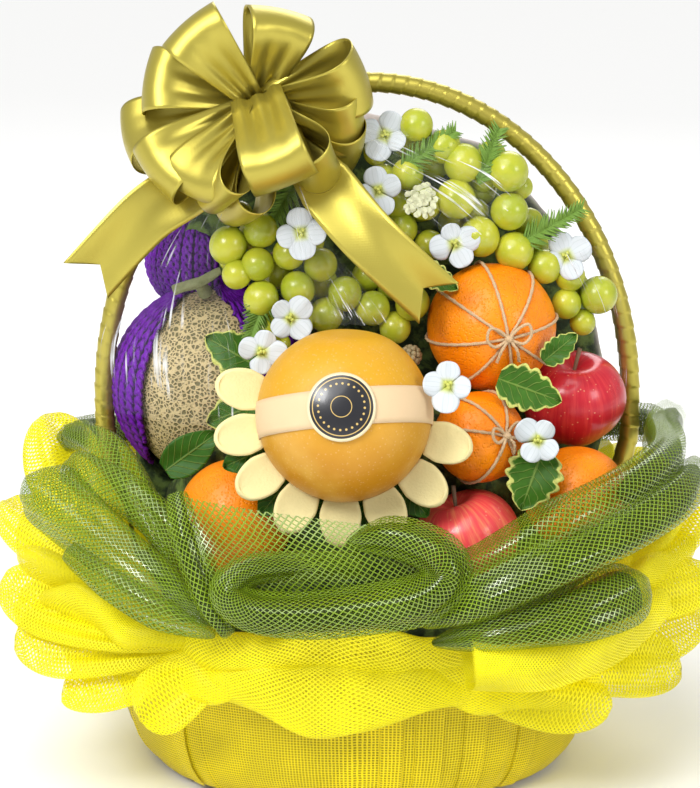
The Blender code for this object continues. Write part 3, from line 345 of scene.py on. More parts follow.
def smooth_route(points, values, samples):
    """Read points and values along a Catmull-Rom curve through the given ones."""
    points = [Vector(point) for point in points]
    result = []
    spans = len(points) - 1
    for sample in range(samples):
        place = sample / (samples - 1) * spans
        index = min(int(place), spans - 1)
        part = place - index
        before = points[max(index - 1, 0)]
        first, second = points[index], points[index + 1]
        after = points[min(index + 2, spans)]
        point = 0.5 * (2 * first + (second - before) * part
                       + (2 * before - 5 * first + 4 * second - after) * part ** 2
                       + (3 * first - before - 3 * second + after) * part ** 3)
        value = values[index] + (values[index + 1] - values[index]) * part
        result.append((point, value))
    return result


def smooth_line(points, samples):
    """Places along a smooth curve through points given in millimetres."""
    points = [mm(point) for point in points]
    return [spot for spot, _ in smooth_route(points, [1] * len(points), samples)]


def scaled_route(points, radii, samples):
    """A smooth route whose points and radii are given in millimetres."""
    return smooth_route([mm(point) for point in points], [radius * 0.001 for radius in radii],
                        samples)


def route_frames(route):
    """Give each point of a route two directions square to it that turn as little as they can."""
    frames = []
    normal = None
    for index, (point, value) in enumerate(route):
        before = route[max(index - 1, 0)][0]
        after = route[min(index + 1, len(route) - 1)][0]
        along = (after - before).normalized()
        if normal is None:
            normal = Vector((0, 0, 1)) - along * along.z
            normal.normalize()
        normal = (normal - along * normal.dot(along)).normalized()
        frames.append((point, value, along, normal, along.cross(normal)))
    return frames


def route_length(route):
    return sum((b[0] - a[0]).length for a, b in zip(route, route[1:]))


def tube_along(name, route, sides, ripple=None):
    """A tube along a route; ripple(turn, share) scales the radius."""
    frames = route_frames(route)
    steps = len(frames) - 1

    def place(u, v):
        point, radius, _, normal, other = frames[round(v * steps)]
        angle = math.tau * u
        if ripple:
            radius *= ripple(u, v)
        return point + (normal * math.cos(angle) + other * math.sin(angle)) * radius

    girth = math.tau * max(radius for _, radius in route)
    piece = shaped_grid(name, sides, steps, place, (girth, route_length(route)))
    merge_and_face_out(piece, FINE_SEAM)
    return piece


def oval_point(angle, half_width, height):
    """A point on the bowl's oval plan; angle 0 is the front and +90 degrees is +X."""
    power = 2 / BOWL_SQUARENESS
    across = math.copysign(abs(math.sin(angle)) ** power, math.sin(angle))
    ahead = math.copysign(abs(math.cos(angle)) ** power, math.cos(angle))
    return Vector((half_width * across, -half_width * BOWL_DEPTH_RATIO * ahead, height))


def bowl_half_width(height):
    """Half width of the bowl's outer face at a height."""
    for (low, low_width), (high, high_width) in zip(BOWL_PROFILE, BOWL_PROFILE[1:]):
        if height <= high:
            return low_width + (high_width - low_width) * (height - low) / (high - low)
    return BOWL_PROFILE[-1][1]


def hoop_route(samples):
    """The hoop's centre line from one foot over the top to the other."""
    points = [Vector((-HOOP_FOOT[0], 0, HOOP_FOOT[1])), Vector((-HOOP_WAIST[0], 0, HOOP_WAIST[1]))]
    for step in range(23):
        angle = math.pi - HOOP_LEAVES_AT - (math.pi - 2 * HOOP_LEAVES_AT) * step / 22
        points.append(HOOP_CENTRE + Vector((HOOP_HALF_WIDTH * math.cos(angle), 0,
                                            HOOP_HALF_HEIGHT * math.sin(angle))))
    points += [Vector((HOOP_WAIST[0], 0, HOOP_WAIST[1])), Vector((HOOP_FOOT[0], 0, HOOP_FOOT[1]))]
    return smooth_route(points, [HOOP_TUBE] * len(points), samples)


# ---------------------------------------------------------------- shader helpers
def link(tree, start, end):
    tree.links.new(start, end)


def feed(tree, node, values):
    """Give a node's first sockets a link, where a value is a socket, or else a plain value."""
    for socket, value in zip(node.inputs, values):
        if isinstance(value, bpy.types.NodeSocket):
            link(tree, value, socket)
        else:
            socket.default_value = value


def math_node(tree, operation, *values):
    """A Math node fed by sockets or plain numbers; returns its output."""
    node = tree.nodes.new("ShaderNodeMath")
    node.operation = operation
    feed(tree, node, values)
    return node.outputs[0]


def vector_math(tree, operation, *values):
    """A Vector Math node fed by sockets or plain vectors; returns its output."""
    node = tree.nodes.new("ShaderNodeVectorMath")
    node.operation = operation
    feed(tree, node, values)
    return node.outputs[0]


def mix_colours(tree, factor, first, second):
    """Mix two colours, each a socket or a plain colour, by a socket."""
    node = tree.nodes.new("ShaderNodeMix")
    node.data_type = "RGBA"
    link(tree, factor, node.inputs[0])
    for index, value in ((6, first), (7, second)):
        if isinstance(value, (tuple, list)):
            node.inputs[index].default_value = (*value[:3], 1.0)
        else:
            link(tree, value, node.inputs[index])
    return node.outputs[2]


def ramp(tree, factor, low, high):
    """A mask that rises smoothly from 0 at low to 1 at high, or falls where high is less."""
    node = tree.nodes.new("ShaderNodeMapRange")
    node.interpolation_type = "SMOOTHSTEP"
    feed(tree, node, (factor, low, high))
    return node.outputs[0]


def noise_node(tree, vector, scale, detail=3.0, roughness=0.5):
    node = tree.nodes.new("ShaderNodeTexNoise")
    node.inputs["Scale"].default_value = scale
    node.inputs["Detail"].default_value = detail
    node.inputs["Roughness"].default_value = roughness
    link(tree, vector, node.inputs["Vector"])
    return node


def noise_value(tree, *settings):
    return noise_node(tree, *settings).outputs[0]


def cell_distance(tree, vector, scale, feature="F1"):
    """Distance to the nearest of many scattered points, or to the edge between two of them."""
    node = tree.nodes.new("ShaderNodeTexVoronoi")
    node.feature = feature
    node.inputs["Scale"].default_value = scale
    link(tree, vector, node.inputs["Vector"])
    return node.outputs["Distance"]


def coordinates(tree, kind="Object"):
    return tree.nodes.new("ShaderNodeTexCoord").outputs[kind]


def mapped_uv(tree, scale=(1.0, 1.0, 1.0), turn=0.0):
    """The UV map, stretched and turned by so many degrees."""
    node = tree.nodes.new("ShaderNodeMapping")
    node.inputs["Rotation"].default_value = (0, 0, math.radians(turn))
    node.inputs["Scale"].default_value = scale
    link(tree, coordinates(tree, "UV"), node.inputs["Vector"])
    return node.outputs[0]


def axes(tree, vector):
    """The outputs X, Y and Z of a vector."""
    node = tree.nodes.new("ShaderNodeSeparateXYZ")
    link(tree, vector, node.inputs[0])
    return node.outputs


def bump(tree, height, distance):
    node = tree.nodes.new("ShaderNodeBump")
    node.inputs["Strength"].default_value = 1.0
    node.inputs["Distance"].default_value = distance
    link(tree, height, node.inputs["Height"])
    return node.outputs[0]


def shade(colour, share=0.45):
    """A colour made darker, or brighter where the share is over 1."""
    return tuple(share * part for part in colour[:3])


def toned(colour, factors):
    """A colour whose red, green and blue are each multiplied by a factor of their own."""
    return tuple(min(1.0, part * factor) for part, factor in zip(colour, factors))


def tint(colour, amount):
    """A lighter tint of a colour."""
    return tuple(part + (1 - part) * amount for part in colour[:3])


def new_material(name, colour, roughness, coat=0.0, specular=0.5):
    """A material with its own Principled BSDF; returns it, its tree and the shader."""
    material = bpy.data.materials.new(name)
    material.use_nodes = True
    tree = material.node_tree
    shader = tree.nodes["Principled BSDF"]
    shader.inputs["Base Color"].default_value = (*tuple(colour)[:3], 1.0)
    shader.inputs["Roughness"].default_value = roughness
    shader.inputs["Specular IOR Level"].default_value = specular
    shader.inputs["Coat Weight"].default_value = coat
    shader.inputs["Coat Roughness"].default_value = 0.12
    return material, tree, shader


def paint(tree, shader, colour, relief=None):
    """Give a shader its colour and, where it has one, its relief."""
    link(tree, colour, shader.inputs["Base Color"])
    if relief:
        link(tree, relief, shader.inputs["Normal"])


def open_mesh_group():
    """Threads of an open net: a mask that is 1 on a thread and 0 in a gap."""
    group = bpy.data.node_groups.new("Open mesh", "ShaderNodeTree")
    sockets = group.interface
    sockets.new_socket("Vector", in_out="INPUT", socket_type="NodeSocketVector")
    for label, value in (("Pitch", 0.0018), ("Thread", 0.4), ("Wander", 0.0006)):
        socket = sockets.new_socket(label, in_out="INPUT", socket_type="NodeSocketFloat")
        socket.default_value = value
    sockets.new_socket("Mask", in_out="OUTPUT", socket_type="NodeSocketFloat")
    source = group.nodes.new("NodeGroupInput").outputs
    result = group.nodes.new("NodeGroupOutput")
    wander = noise_node(group, source["Vector"], 160.0, 2.0).outputs["Color"]
    centred = vector_math(group, "SUBTRACT", wander, (0.5, 0.5, 0.5))
    moved = vector_math(group, "MULTIPLY_ADD", centred, source["Wander"], source["Vector"])
    place = axes(group, moved)
    ridges = []
    for axis in ("X", "Y"):
        cells = math_node(group, "DIVIDE", place[axis], source["Pitch"])
        away = math_node(group, "PINGPONG", cells, 0.5)
        ridges.append(math_node(group, "MULTIPLY", away, 2.0))
    nearest = math_node(group, "MINIMUM", *ridges)
    inner = math_node(group, "MULTIPLY", source["Thread"], 0.7)
    outer = math_node(group, "MULTIPLY", source["Thread"], 1.3)
    link(group, ramp(group, nearest, outer, inner), result.inputs["Mask"])
    return group


def thread_mask(tree, vector, pitch, thread):
    """The mask of an open net of this pitch, laid over a vector."""
    node = tree.nodes.new("ShaderNodeGroup")
    node.node_tree = NODE_GROUPS["mesh"]
    link(tree, vector, node.inputs["Vector"])
    for label, value in (("Pitch", pitch), ("Thread", thread), ("Wander", 0.35 * pitch)):
        node.inputs[label].default_value = value
    return node.outputs["Mask"]


def weave_height(tree, vector, pitch):
    """Height of a fine over-and-under weave."""
    place = axes(tree, vector)
    waves = []
    for axis in ("X", "Y"):
        cells = math_node(tree, "DIVIDE", place[axis], pitch)
        waves.append(math_node(tree, "SINE", math_node(tree, "MULTIPLY", cells, math.pi)))
    return math_node(tree, "MULTIPLY", *waves)


def net_material(name, threads, gaps, pitch, thread, cover, roughness, turn=0.0, specular=0.3,
                 painted_glow=0.0):
    """A see-through net: threads of one colour, and gaps of another that cover only partly.

    The cover grows where the net lies in folds.  The threads glow by the given strength, a
    painted glow that stands in for the light coming through them from behind.
    """
    material, tree, shader = new_material(name, threads, roughness, specular=specular)
    mask = thread_mask(tree, mapped_uv(tree, turn=turn), pitch, thread)
    folds = noise_value(tree, coordinates(tree), 28.0, 2.0)
    shading = mix_colours(tree, ramp(tree, folds, 0.35, 0.7), shade(threads, 0.80), threads)
    colour = mix_colours(tree, mask, gaps, shading)
    paint(tree, shader, colour, bump(tree, mask, 0.0004))
    between = math_node(tree, "MULTIPLY_ADD", ramp(tree, folds, 0.45, 0.75), 0.15, cover)
    link(tree, math_node(tree, "MAXIMUM", mask, between), shader.inputs["Alpha"])
    # painted glow: the threads shine with their own colour though the net is no lamp
    if painted_glow:
        link(tree, colour, shader.inputs["Emission Color"])
        shader.inputs["Emission Strength"].default_value = painted_glow
    return material


def satin_material(name, colour):
    """Satin ribbon: soft wide highlights over a very fine weave."""
    material, tree, shader = new_material(name, colour, 0.32)
    shader.inputs["Metallic"].default_value = 0.74
    slow = noise_value(tree, coordinates(tree), 18.0, 2.0)
    weave = weave_height(tree, coordinates(tree, "UV"), 0.0006)
    paint(tree, shader, mix_colours(tree, slow, shade(colour, 0.85), shade(colour, 1.12)),
          bump(tree, weave, 0.00002))
    return material


def orange_material(colour):
    """Orange peel: oil pores over a faintly mottled colour."""
    material, tree, shader = new_material("orange_peel", colour, 0.38, coat=0.08, specular=0.35)
    place = coordinates(tree)
    mottled = ramp(tree, noise_value(tree, place, 30.0, 3.0), 0.35, 0.7)
    pores = ramp(tree, cell_distance(tree, place, 620.0), 0.1, 0.5)
    relief = math_node(tree, "ADD", pores, noise_value(tree, place, 240.0, 2.0))
    paint(tree, shader, mix_colours(tree, mottled, toned(colour, (0.97, 0.84, 1.0)), colour),
          bump(tree, relief, 0.00032))
    return material


def pear_material(colour):
    """Pear skin: smooth and waxy, with fine pale lenticels and a deeper foot."""
    material, tree, shader = new_material("pear_skin", colour, 0.42, coat=0.05, specular=0.35)
    place = coordinates(tree)
    height = axes(tree, place)["Z"]
    mottled = noise_value(tree, place, 22.0, 4.0)
    skin = mix_colours(tree, ramp(tree, height, 0.190, 0.275), toned(colour, (0.74, 0.55, 0.3)),
                       colour)
    skin = mix_colours(tree, ramp(tree, mottled, 0.45, 0.75), skin, tint(colour, 0.04))
    dots = cell_distance(tree, place, 420.0)
    spots = math_node(tree, "MULTIPLY", ramp(tree, dots, 0.30, 0.12), 0.20)
    paint(tree, shader, mix_colours(tree, spots, skin, tint(colour, 0.30)),
          bump(tree, dots, 0.00008))
    return material


def apple_material(name, colour):
    """Apple skin: red with fine upright streaks and pale dots."""
    material, tree, shader = new_material(name, colour, 0.28, coat=0.22, specular=0.4)
    streaks = noise_value(tree, mapped_uv(tree, (60.0, 3.0, 1.0)), 1.0, 4.0, 0.6)
    skin = mix_colours(tree, ramp(tree, streaks, 0.42, 0.72), colour,
                       toned(colour, (1.25, 4.0, 1.6)))
    dots = cell_distance(tree, coordinates(tree), 260.0)
    spots = math_node(tree, "MULTIPLY", ramp(tree, dots, 0.16, 0.07), 0.5)
    paint(tree, shader, mix_colours(tree, spots, skin, (0.85, 0.55, 0.30)))
    return material


def grape_material(colour):
    """Grape skin: clear yellow-green with a faint bloom."""
    material, tree, shader = new_material("grape_skin", colour, 0.27, coat=0.18)
    shader.inputs["Subsurface Weight"].default_value = 0.25
    shader.inputs["Subsurface Radius"].default_value = (0.006, 0.006, 0.001)
    place = coordinates(tree)
    mottled = ramp(tree, noise_value(tree, place, 55.0, 2.0), 0.35, 0.65)
    skin = mix_colours(tree, mottled, toned(colour, (0.72, 0.82, 0.6)), colour)
    bloom = ramp(tree, noise_value(tree, place, 160.0, 4.0, 0.65), 0.55, 0.8)
    bloom = math_node(tree, "MULTIPLY", bloom, 0.3)
    paint(tree, shader, mix_colours(tree, bloom, skin, tint(colour, 0.45)))
    return material


def rind_material(colour):
    """Melon rind: a raised tan net of cork over a darker green-grey skin."""
    material, tree, shader = new_material("melon_rind", colour, 0.72)
    place = coordinates(tree)
    bend = noise_node(tree, place, 90.0, 2.0).outputs["Color"]
    bent = vector_math(tree, "MULTIPLY_ADD", bend, (0.0045, 0.0045, 0.0045), place)
    cork = ramp(tree, cell_distance(tree, bent, 400.0, "DISTANCE_TO_EDGE"), 0.26, 0.09)
    paint(tree, shader, mix_colours(tree, cork, (0.17, 0.15, 0.06), colour),
          bump(tree, cork, 0.0009))
    return material


def knit_material(colour):
    """Knitted plastic net with fine ribs: painted light on the raised strands, painted shade in
    the grooves.
    """
    material, tree, shader = new_material("purple_sleeve", colour, 0.50, specular=0.25)
    stitch = tree.nodes.new("ShaderNodeAttribute")
    stitch.attribute_name = "stitch"
    # painted light and shade: lighter on the raised strands, nearly black in the grooves
    relief_light_and_shade = ramp(tree, stitch.outputs["Fac"], 0.35, 0.75)
    ribs = noise_value(tree, coordinates(tree), 520.0, 2.0)
    paint(tree, shader, mix_colours(tree, relief_light_and_shade, shade(colour, 0.14), shade(colour, 1.25)),
          bump(tree, ribs, 0.0005))
    return material


def plain_material(name, colour, roughness, mottle, scale, rough_bump):
    """A plain finish with slow changes of colour and, if its depth isn't 0, a fine relief."""
    material, tree, shader = new_material(name, colour, roughness)
    slow = noise_value(tree, coordinates(tree), scale, 3.0)
    relief = None
    if rough_bump:
        relief = bump(tree, noise_value(tree, coordinates(tree), 700.0, 3.0), rough_bump)
    skin = mix_colours(tree, slow, shade(colour, 1 - mottle), tint(colour, 0.3 * mottle))
    paint(tree, shader, skin, relief)
    return material


def leaf_material(name, colour, rim, rim_from):
    """A leaf: pale rim, darker blade and lighter veins, read from the leaf's own UV map."""
    material, tree, shader = new_material(name, colour, 0.45, specular=0.22)
    place = axes(tree, coordinates(tree, "UV"))
    side = math_node(tree, "ABSOLUTE", math_node(tree, "SUBTRACT", place["X"], 0.5))
    side = math_node(tree, "MULTIPLY", side, 2.0)
    blotch = noise_value(tree, coordinates(tree), 190.0, 3.0)
    edge = math_node(tree, "MULTIPLY_ADD", blotch, 0.5, side)
    slant = math_node(tree, "MULTIPLY_ADD", side, -0.28, place["Y"])
    veins = math_node(tree, "PINGPONG", math_node(tree, "MULTIPLY", slant, 7.0), 0.5)
    vein = math_node(tree, "MAXIMUM", ramp(tree, veins, 0.10, 0.02), ramp(tree, side, 0.07, 0.02))
    blade = mix_colours(tree, blotch, shade(colour), colour)
    blade = mix_colours(tree, math_node(tree, "MULTIPLY", vein, 0.35), blade, (0.34, 0.45, 0.10))
    paint(tree, shader, mix_colours(tree, ramp(tree, edge, rim_from, rim_from + 0.12), blade, rim),
          bump(tree, vein, 0.0004))
    return material


def flower_material():
    """White petals with grey-green veins that fade to a yellow-green middle."""
    white = (0.58, 0.62, 0.65)
    material, tree, shader = new_material("flower_petal", white, 0.6)
    place = axes(tree, coordinates(tree, "UV"))
    ray = math_node(tree, "PINGPONG", math_node(tree, "MULTIPLY", place["X"], 5.0), 0.5)
    vein = math_node(tree, "MULTIPLY", ramp(tree, ray, 0.14, 0.02), 0.35)
    petal = mix_colours(tree, vein, white, (0.38, 0.44, 0.44))
    paint(tree, shader, mix_colours(tree, ramp(tree, place["Y"], 0.34, 0.06), petal,
                                    (0.50, 0.55, 0.10)))
    return material


def sticker_material():
    """A black disc with thin gold rings, a ring of gold dots and a cream rim."""
    black, gold, cream = (0.012, 0.012, 0.016), (0.62, 0.43, 0.14), (0.80, 0.68, 0.42)
    material, tree, shader = new_material("sticker_print", black, 0.3, coat=0.4)
    place = axes(tree, coordinates(tree, "UV"))
    turn, reach = place["X"], place["Y"]
    colour = black
    for ring, half in ((0.83, 0.012), (0.30, 0.010)):
        away = math_node(tree, "ABSOLUTE", math_node(tree, "SUBTRACT", reach, ring))
        colour = mix_colours(tree, ramp(tree, away, 1.6 * half, 0.7 * half), colour, gold)
    across = math_node(tree, "PINGPONG", math_node(tree, "MULTIPLY", turn, 24.0), 0.5)
    across = math_node(tree, "MULTIPLY", math_node(tree, "SUBTRACT", 0.5, across), 0.17)
    along = math_node(tree, "SUBTRACT", reach, 0.67)
    squares = [math_node(tree, "POWER", value, 2.0) for value in (across, along)]
    away = math_node(tree, "POWER", math_node(tree, "ADD", *squares), 0.5)
    colour = mix_colours(tree, ramp(tree, away, 0.040, 0.026), colour, gold)
    paint(tree, shader, mix_colours(tree, ramp(tree, reach, 0.905, 0.925), colour, cream))
    return material


def film_material():
    """Clear film: almost nothing where it is flat, with painted white glints along the creases."""
    material, tree, shader = new_material("clear_film", (0.95, 0.97, 1.0), 0.08, coat=0.6)
    crease = noise_value(tree, mapped_uv(tree, (260.0, 13.0, 1.0)), 1.0, 3.0, 0.55)
    gathered = ramp(tree, noise_value(tree, coordinates(tree), 26.0, 2.0), 0.44, 0.60)
    # painted highlight: the film turns white and nearly opaque along the creases
    painted_glints = math_node(tree, "MULTIPLY", ramp(tree, crease, 0.57, 0.66), gathered)
    link(tree, math_node(tree, "MULTIPLY_ADD", painted_glints, 0.85, 0.02), shader.inputs["Alpha"])
    link(tree, bump(tree, crease, 0.004), shader.inputs["Normal"])
    return material


def twine_material():
    """Jute twine: fine pale and dark fibres."""
    material, tree, shader = new_material("twine", (0.56, 0.37, 0.19), 0.9)
    fibres = noise_value(tree, coordinates(tree), 1500.0, 2.0)
    paint(tree, shader, mix_colours(tree, fibres, (0.38, 0.23, 0.10), (0.78, 0.58, 0.36)),
          bump(tree, fibres, 0.0004))
    return material


def tissue_material():
    """Pinkish tissue high up turning to dark green foliage and painted shade low among the fruit.
    """
    material, tree, shader = new_material("tissue", (0.80, 0.68, 0.66), 0.8)
    place = coordinates(tree)
    parts = axes(tree, place)
    depth, height = parts["Y"], parts["Z"]
    crumple = noise_value(tree, place, 60.0, 5.0, 0.6)
    leafy = noise_value(tree, place, 130.0, 4.0, 0.6)
    # painted shade: the tissue is darker where its crumple relief is low
    tissue = mix_colours(tree, ramp(tree, crumple, 0.35, 0.65), (0.78, 0.66, 0.65),
                         (0.86, 0.77, 0.75))
    # partly foliage, partly painted shade: a near black green where the padding shows between the
    # fruit
    foliage_and_shade = mix_colours(tree, ramp(tree, leafy, 0.40, 0.62), (0.012, 0.030, 0.006),
                          (0.10, 0.16, 0.03))
    front = math_node(tree, "MULTIPLY", ramp(tree, depth, 0.030, 0.010),
                      ramp(tree, height, 0.392, 0.372))
    foot = math_node(tree, "MULTIPLY", ramp(tree, depth, 0.075, 0.055),
                     ramp(tree, height, 0.245, 0.215))
    green = math_node(tree, "MAXIMUM", front, foot)
    paint(tree, shader, mix_colours(tree, green, tissue, foliage_and_shade), bump(tree, crumple, 0.004))
    return material


NODE_GROUPS = {}
FINISHES = {}
# plain finishes: name, colour, roughness, mottling and its scale, depth of the fine relief
PLAIN_FINISHES = {
    "melon_stem": ("melon_stem", (0.30, 0.33, 0.12), 0.7, 0.35, 260.0, 0.0006),
    "twig": ("twig", (0.22, 0.14, 0.05), 0.7, 0.4, 300.0, 0.0),
    "paper": ("band_paper", (0.78, 0.56, 0.32), 0.65, 0.08, 40.0, 0.00008),
    "foam": ("foam", (0.88, 0.76, 0.36), 0.75, 0.10, 120.0, 0.0003),
    "stamen": ("stamen", (0.55, 0.58, 0.10), 0.7, 0.12, 60.0, 0.0),
    "blossom": ("blossom", (0.80, 0.82, 0.52), 0.7, 0.3, 300.0, 0.0),
    "needles": ("needles", (0.150, 0.290, 0.018), 0.7, 0.15, 300.0, 0.0),
    "cone": ("pinecone", (0.46, 0.34, 0.12), 0.5, 0.5, 400.0, 0.0),
    "wicker": ("wicker", (0.34, 0.24, 0.05), 0.6, 0.4, 200.0, 0.0008),
}
# leaves: name, colours of the blade and of the rim, and how far out the rim begins
LEAF_FINISHES = {
    "ivy": ("ivy_leaf", (0.055, 0.175, 0.010), (0.56, 0.58, 0.15), 1.05),
    "glossy_leaf": ("glossy_leaf", (0.040, 0.155, 0.008), (0.06, 0.18, 0.02), 2.0),
}


def make_nets(nets):
    """The materials of the green net, its inner rolls in painted shade, the yellow net and the
    skirt.
    """
    green, yellow, skirt = tuple(nets.green), tuple(nets.yellow), tuple(nets.skirt)
    # painted shade: a much darker copy of the green for the net rolled inside, so the rolls look
    # shaded within
    shaded_green = shade(shade(green))
    # painted shade: the green net's gaps are partly covered in a darker shade of the green
    FINISHES["green_net"] = net_material(
        "green_net", green, shade(green), nets.green_pitch, thread=0.27, cover=0.05,
        roughness=0.17, turn=38.0, specular=0.7, painted_glow=0.06)
    FINISHES["shaded_green_core"] = net_material(
        "shaded_green_core", shaded_green, shaded_green, nets.green_pitch, thread=0.34, cover=0.40,
        roughness=0.40, turn=12.0, specular=0.2)
    FINISHES["yellow_net"] = net_material(
        "yellow_net", yellow, yellow, nets.yellow_pitch, thread=0.42, cover=0.16,
        roughness=0.5, turn=45.0, painted_glow=0.16)
    # painted shade: the skirt's gaps are mostly covered in a darker shade of its yellow
    FINISHES["skirt_net"] = net_material(
        "skirt_net", skirt, shade(skirt), nets.yellow_pitch, thread=0.45, cover=0.70,
        roughness=0.5, painted_glow=0.05)


def make_finishes(context):
    """Build the node group and every material once, from the settings."""
    fruit = context.scene.gift_fruit
    NODE_GROUPS["mesh"] = open_mesh_group()
    make_nets(context.scene.gift_nets)
    for key, values in PLAIN_FINISHES.items():
        FINISHES[key] = plain_material(*values)
    for key, values in LEAF_FINISHES.items():
        FINISHES[key] = leaf_material(*values)
    FINISHES.update({
        "satin": satin_material("satin_ribbon", tuple(context.scene.gift_ribbon.colour)),
        "orange": orange_material(tuple(fruit.orange)),
        "pear": pear_material(tuple(fruit.pear)),
        "apple_right": apple_material("apple_skin", tuple(fruit.apple)),
        # the lower apple's skin: its own blush and painted light, a brighter copy of the apple
        "apple_bottom": apple_material("apple_skin_blush_and_painted_light", tuple(fruit.blush_and_painted_light)),
        "grape": grape_material(tuple(fruit.grape)),
        "rind": rind_material(tuple(fruit.rind)),
        "knit": knit_material(tuple(fruit.sleeve)),
        "sticker": sticker_material(),
        "twine": twine_material(),
        "flower": flower_material(),
        "tissue": tissue_material(),
        "film": film_material(),
    })


# ---------------------------------------------------------------- bowl, handle and backing
SKIRT_FOOT, SKIRT_TOP = 0.0046, 0.1075
SKIRT_HEIGHT = SKIRT_TOP - SKIRT_FOOT
SKIRT_GIRTH = 0.86
SKIRT_PLEATS = 10
PLEAT_DEPTH = 0.0011
MEAN_BOWL_RADIUS = 0.13
# strips where the skirt lies double: angle from the front in degrees, width in metres
SKIRT_STRIPS = ((-44, 0.012), (6, 0.010), (14, 0.014), (25, 0.012), (41, 0.012),
                (96, 0.012), (142, 0.014), (186, 0.012), (228, 0.012), (272, 0.012))


def skirt_point(angle, height, lift):
    pleat = ((angle * SKIRT_PLEATS / math.tau) % 1.0) ** 2
    ripple = noise.noise(Vector((9 * math.sin(angle), 9 * math.cos(angle), 12 * height)))
    reach = bowl_half_width(height) + 0.0012 + PLEAT_DEPTH * pleat + 0.0005 * ripple + lift
    return oval_point(angle, reach, height)


def make_skirt():
    """The net round the bowl, with upright pleats and strips where it lies double."""
    def place(u, v):
        return skirt_point(math.tau * (u - 0.5), SKIRT_FOOT + SKIRT_HEIGHT * v, 0.0)

    skirt = shaped_grid("skirt", 420, 14, place, (SKIRT_GIRTH, SKIRT_HEIGHT))
    merge_and_face_out(skirt)
    pieces = [skirt]
    for number, (degrees, width) in enumerate(SKIRT_STRIPS):
        middle = math.radians(degrees)

        def strip_place(u, v):
            angle = middle + (u - 0.5) * width / MEAN_BOWL_RADIUS
            return skirt_point(angle, SKIRT_FOOT + SKIRT_HEIGHT * v, 0.0009 + 0.0010 * u)

        pieces.append(shaped_grid(f"strip_{number}", 6, 14, strip_place, (width, SKIRT_HEIGHT)))
    piece = join_pieces(pieces, "skirt")
    finish_piece(piece, FINISHES["skirt_net"], "yellow_net", "wrap")


HANDLE_STEPS = 900
WINDING_LAP = 0.11          # how much a turn of ribbon swells over the one before


def make_wound_handle(pitch):
    """The hoop wound with satin: each turn overlaps the one before."""
    route = hoop_route(HANDLE_STEPS)
    turns = route_length(route) / pitch

    def ripple(u, v):
        return 0.99 + WINDING_LAP * ((v * turns + u) % 1.0)

    piece = tube_along("wound_handle", route, 18, ripple)
    finish_piece(piece, FINISHES["satin"], "satin_ribbon", "handle")


PADDING_VOXEL = 0.0032
# flat facets of the crumpled back: how many lie along a metre, and their slope
PADDING_FACETS = ((24.0, 0.26), (52.0, 0.20))
CRUMPLE_SEED = 7    # settles how each facet leans


def make_backing():
    """The padding behind the fruit, softened and crumpled like tissue."""
    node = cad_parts["backing"]
    select_only(node)
    bpy.ops.object.duplicate()
    piece = bpy.context.object
    piece.parent = None
    piece.name = "padding"
    merge_and_face_out(piece, 0.00005)
    piece.data.remesh_voxel_size = PADDING_VOXEL
    bpy.ops.object.voxel_remesh()
    apply_modifier(piece, "SMOOTH", factor=0.5, iterations=40)

    def crumple(point):
        dent = noise.fractal(point * 26, 1.0, 2.1, 4) * 0.0012
        behind = max(0.0, min(1.0, (point.y - 0.020) / 0.025))
        facets = 0.0
        for scale, slope in PADDING_FACETS:
            facet = noise.voronoi(point * scale)[1][0]
            tilt = noise.noise_vector(facet * 5.3).normalized()
            facets += slope * (point - facet / scale).dot(tilt)
        return point + Vector((dent, 2.0 * dent + behind * facets, dent))

    noise.seed_set(CRUMPLE_SEED)
    reshape(piece, crumple)
    finish_piece(piece, FINISHES["tissue"], "tissue", "backing")


# ---------------------------------------------------------------- fruit
def fruit_place(name):
    centre, radius = FRUIT[name]
    return mm(centre), radius * 0.001


STITCH_COLUMNS = 46
STITCH_HEIGHT = 0.0052
STITCH_RELIEF = 0.0026
SLEEVE_THICKNESS = 0.0022
# the opening in front of the melon: half width, and half heights above and below its middle
SLEEVE_OPENING = (0.036, 0.068, 0.095)
MELON_STALK_BAR = (((-108, -12, 288), (-94, -14, 293), (-80, -13, 300)), (3.0, 3.2, 2.2))
MELON_STALK_POST = (((-90, -4, 285), (-93, -12, 292)), (4.6, 3.0))


def knit_relief(angle, height):
    """Height of a knitted stitch, from 0 in a groove to 1 on a strand."""
    place = angle / math.tau * STITCH_COLUMNS
    across = abs((place % 1.0) - 0.5) * 2
    strand = math.sin(math.pi * (height / STITCH_HEIGHT + 0.9 * across))
    return (1 - across ** 4) * (0.35 + 0.65 * abs(strand))


def knit(piece, centre):
    """Push a ball's points out by the knitting's relief, and keep the relief for painted shade and
    light.
    """
    stitch = piece.data.attributes.new("stitch", "FLOAT", "POINT")
    for vertex in piece.data.vertices:
        away = vertex.co - centre
        relief = knit_relief(math.atan2(away.y, away.x), away.z)
        stitch.data[vertex.index].value = relief
        vertex.co += away.normalized() * STITCH_RELIEF * (relief - 0.6)


def make_melon():
    centre, radius = fruit_place("melon")
    melon = ball("netted_melon", centre, radius)
    reshape(melon, lambda point: centre + (point - centre)
            * (1 + 0.006 * noise.noise(point * 40)))
    finish_piece(melon, FINISHES["rind"], "melon_rind", "melon")


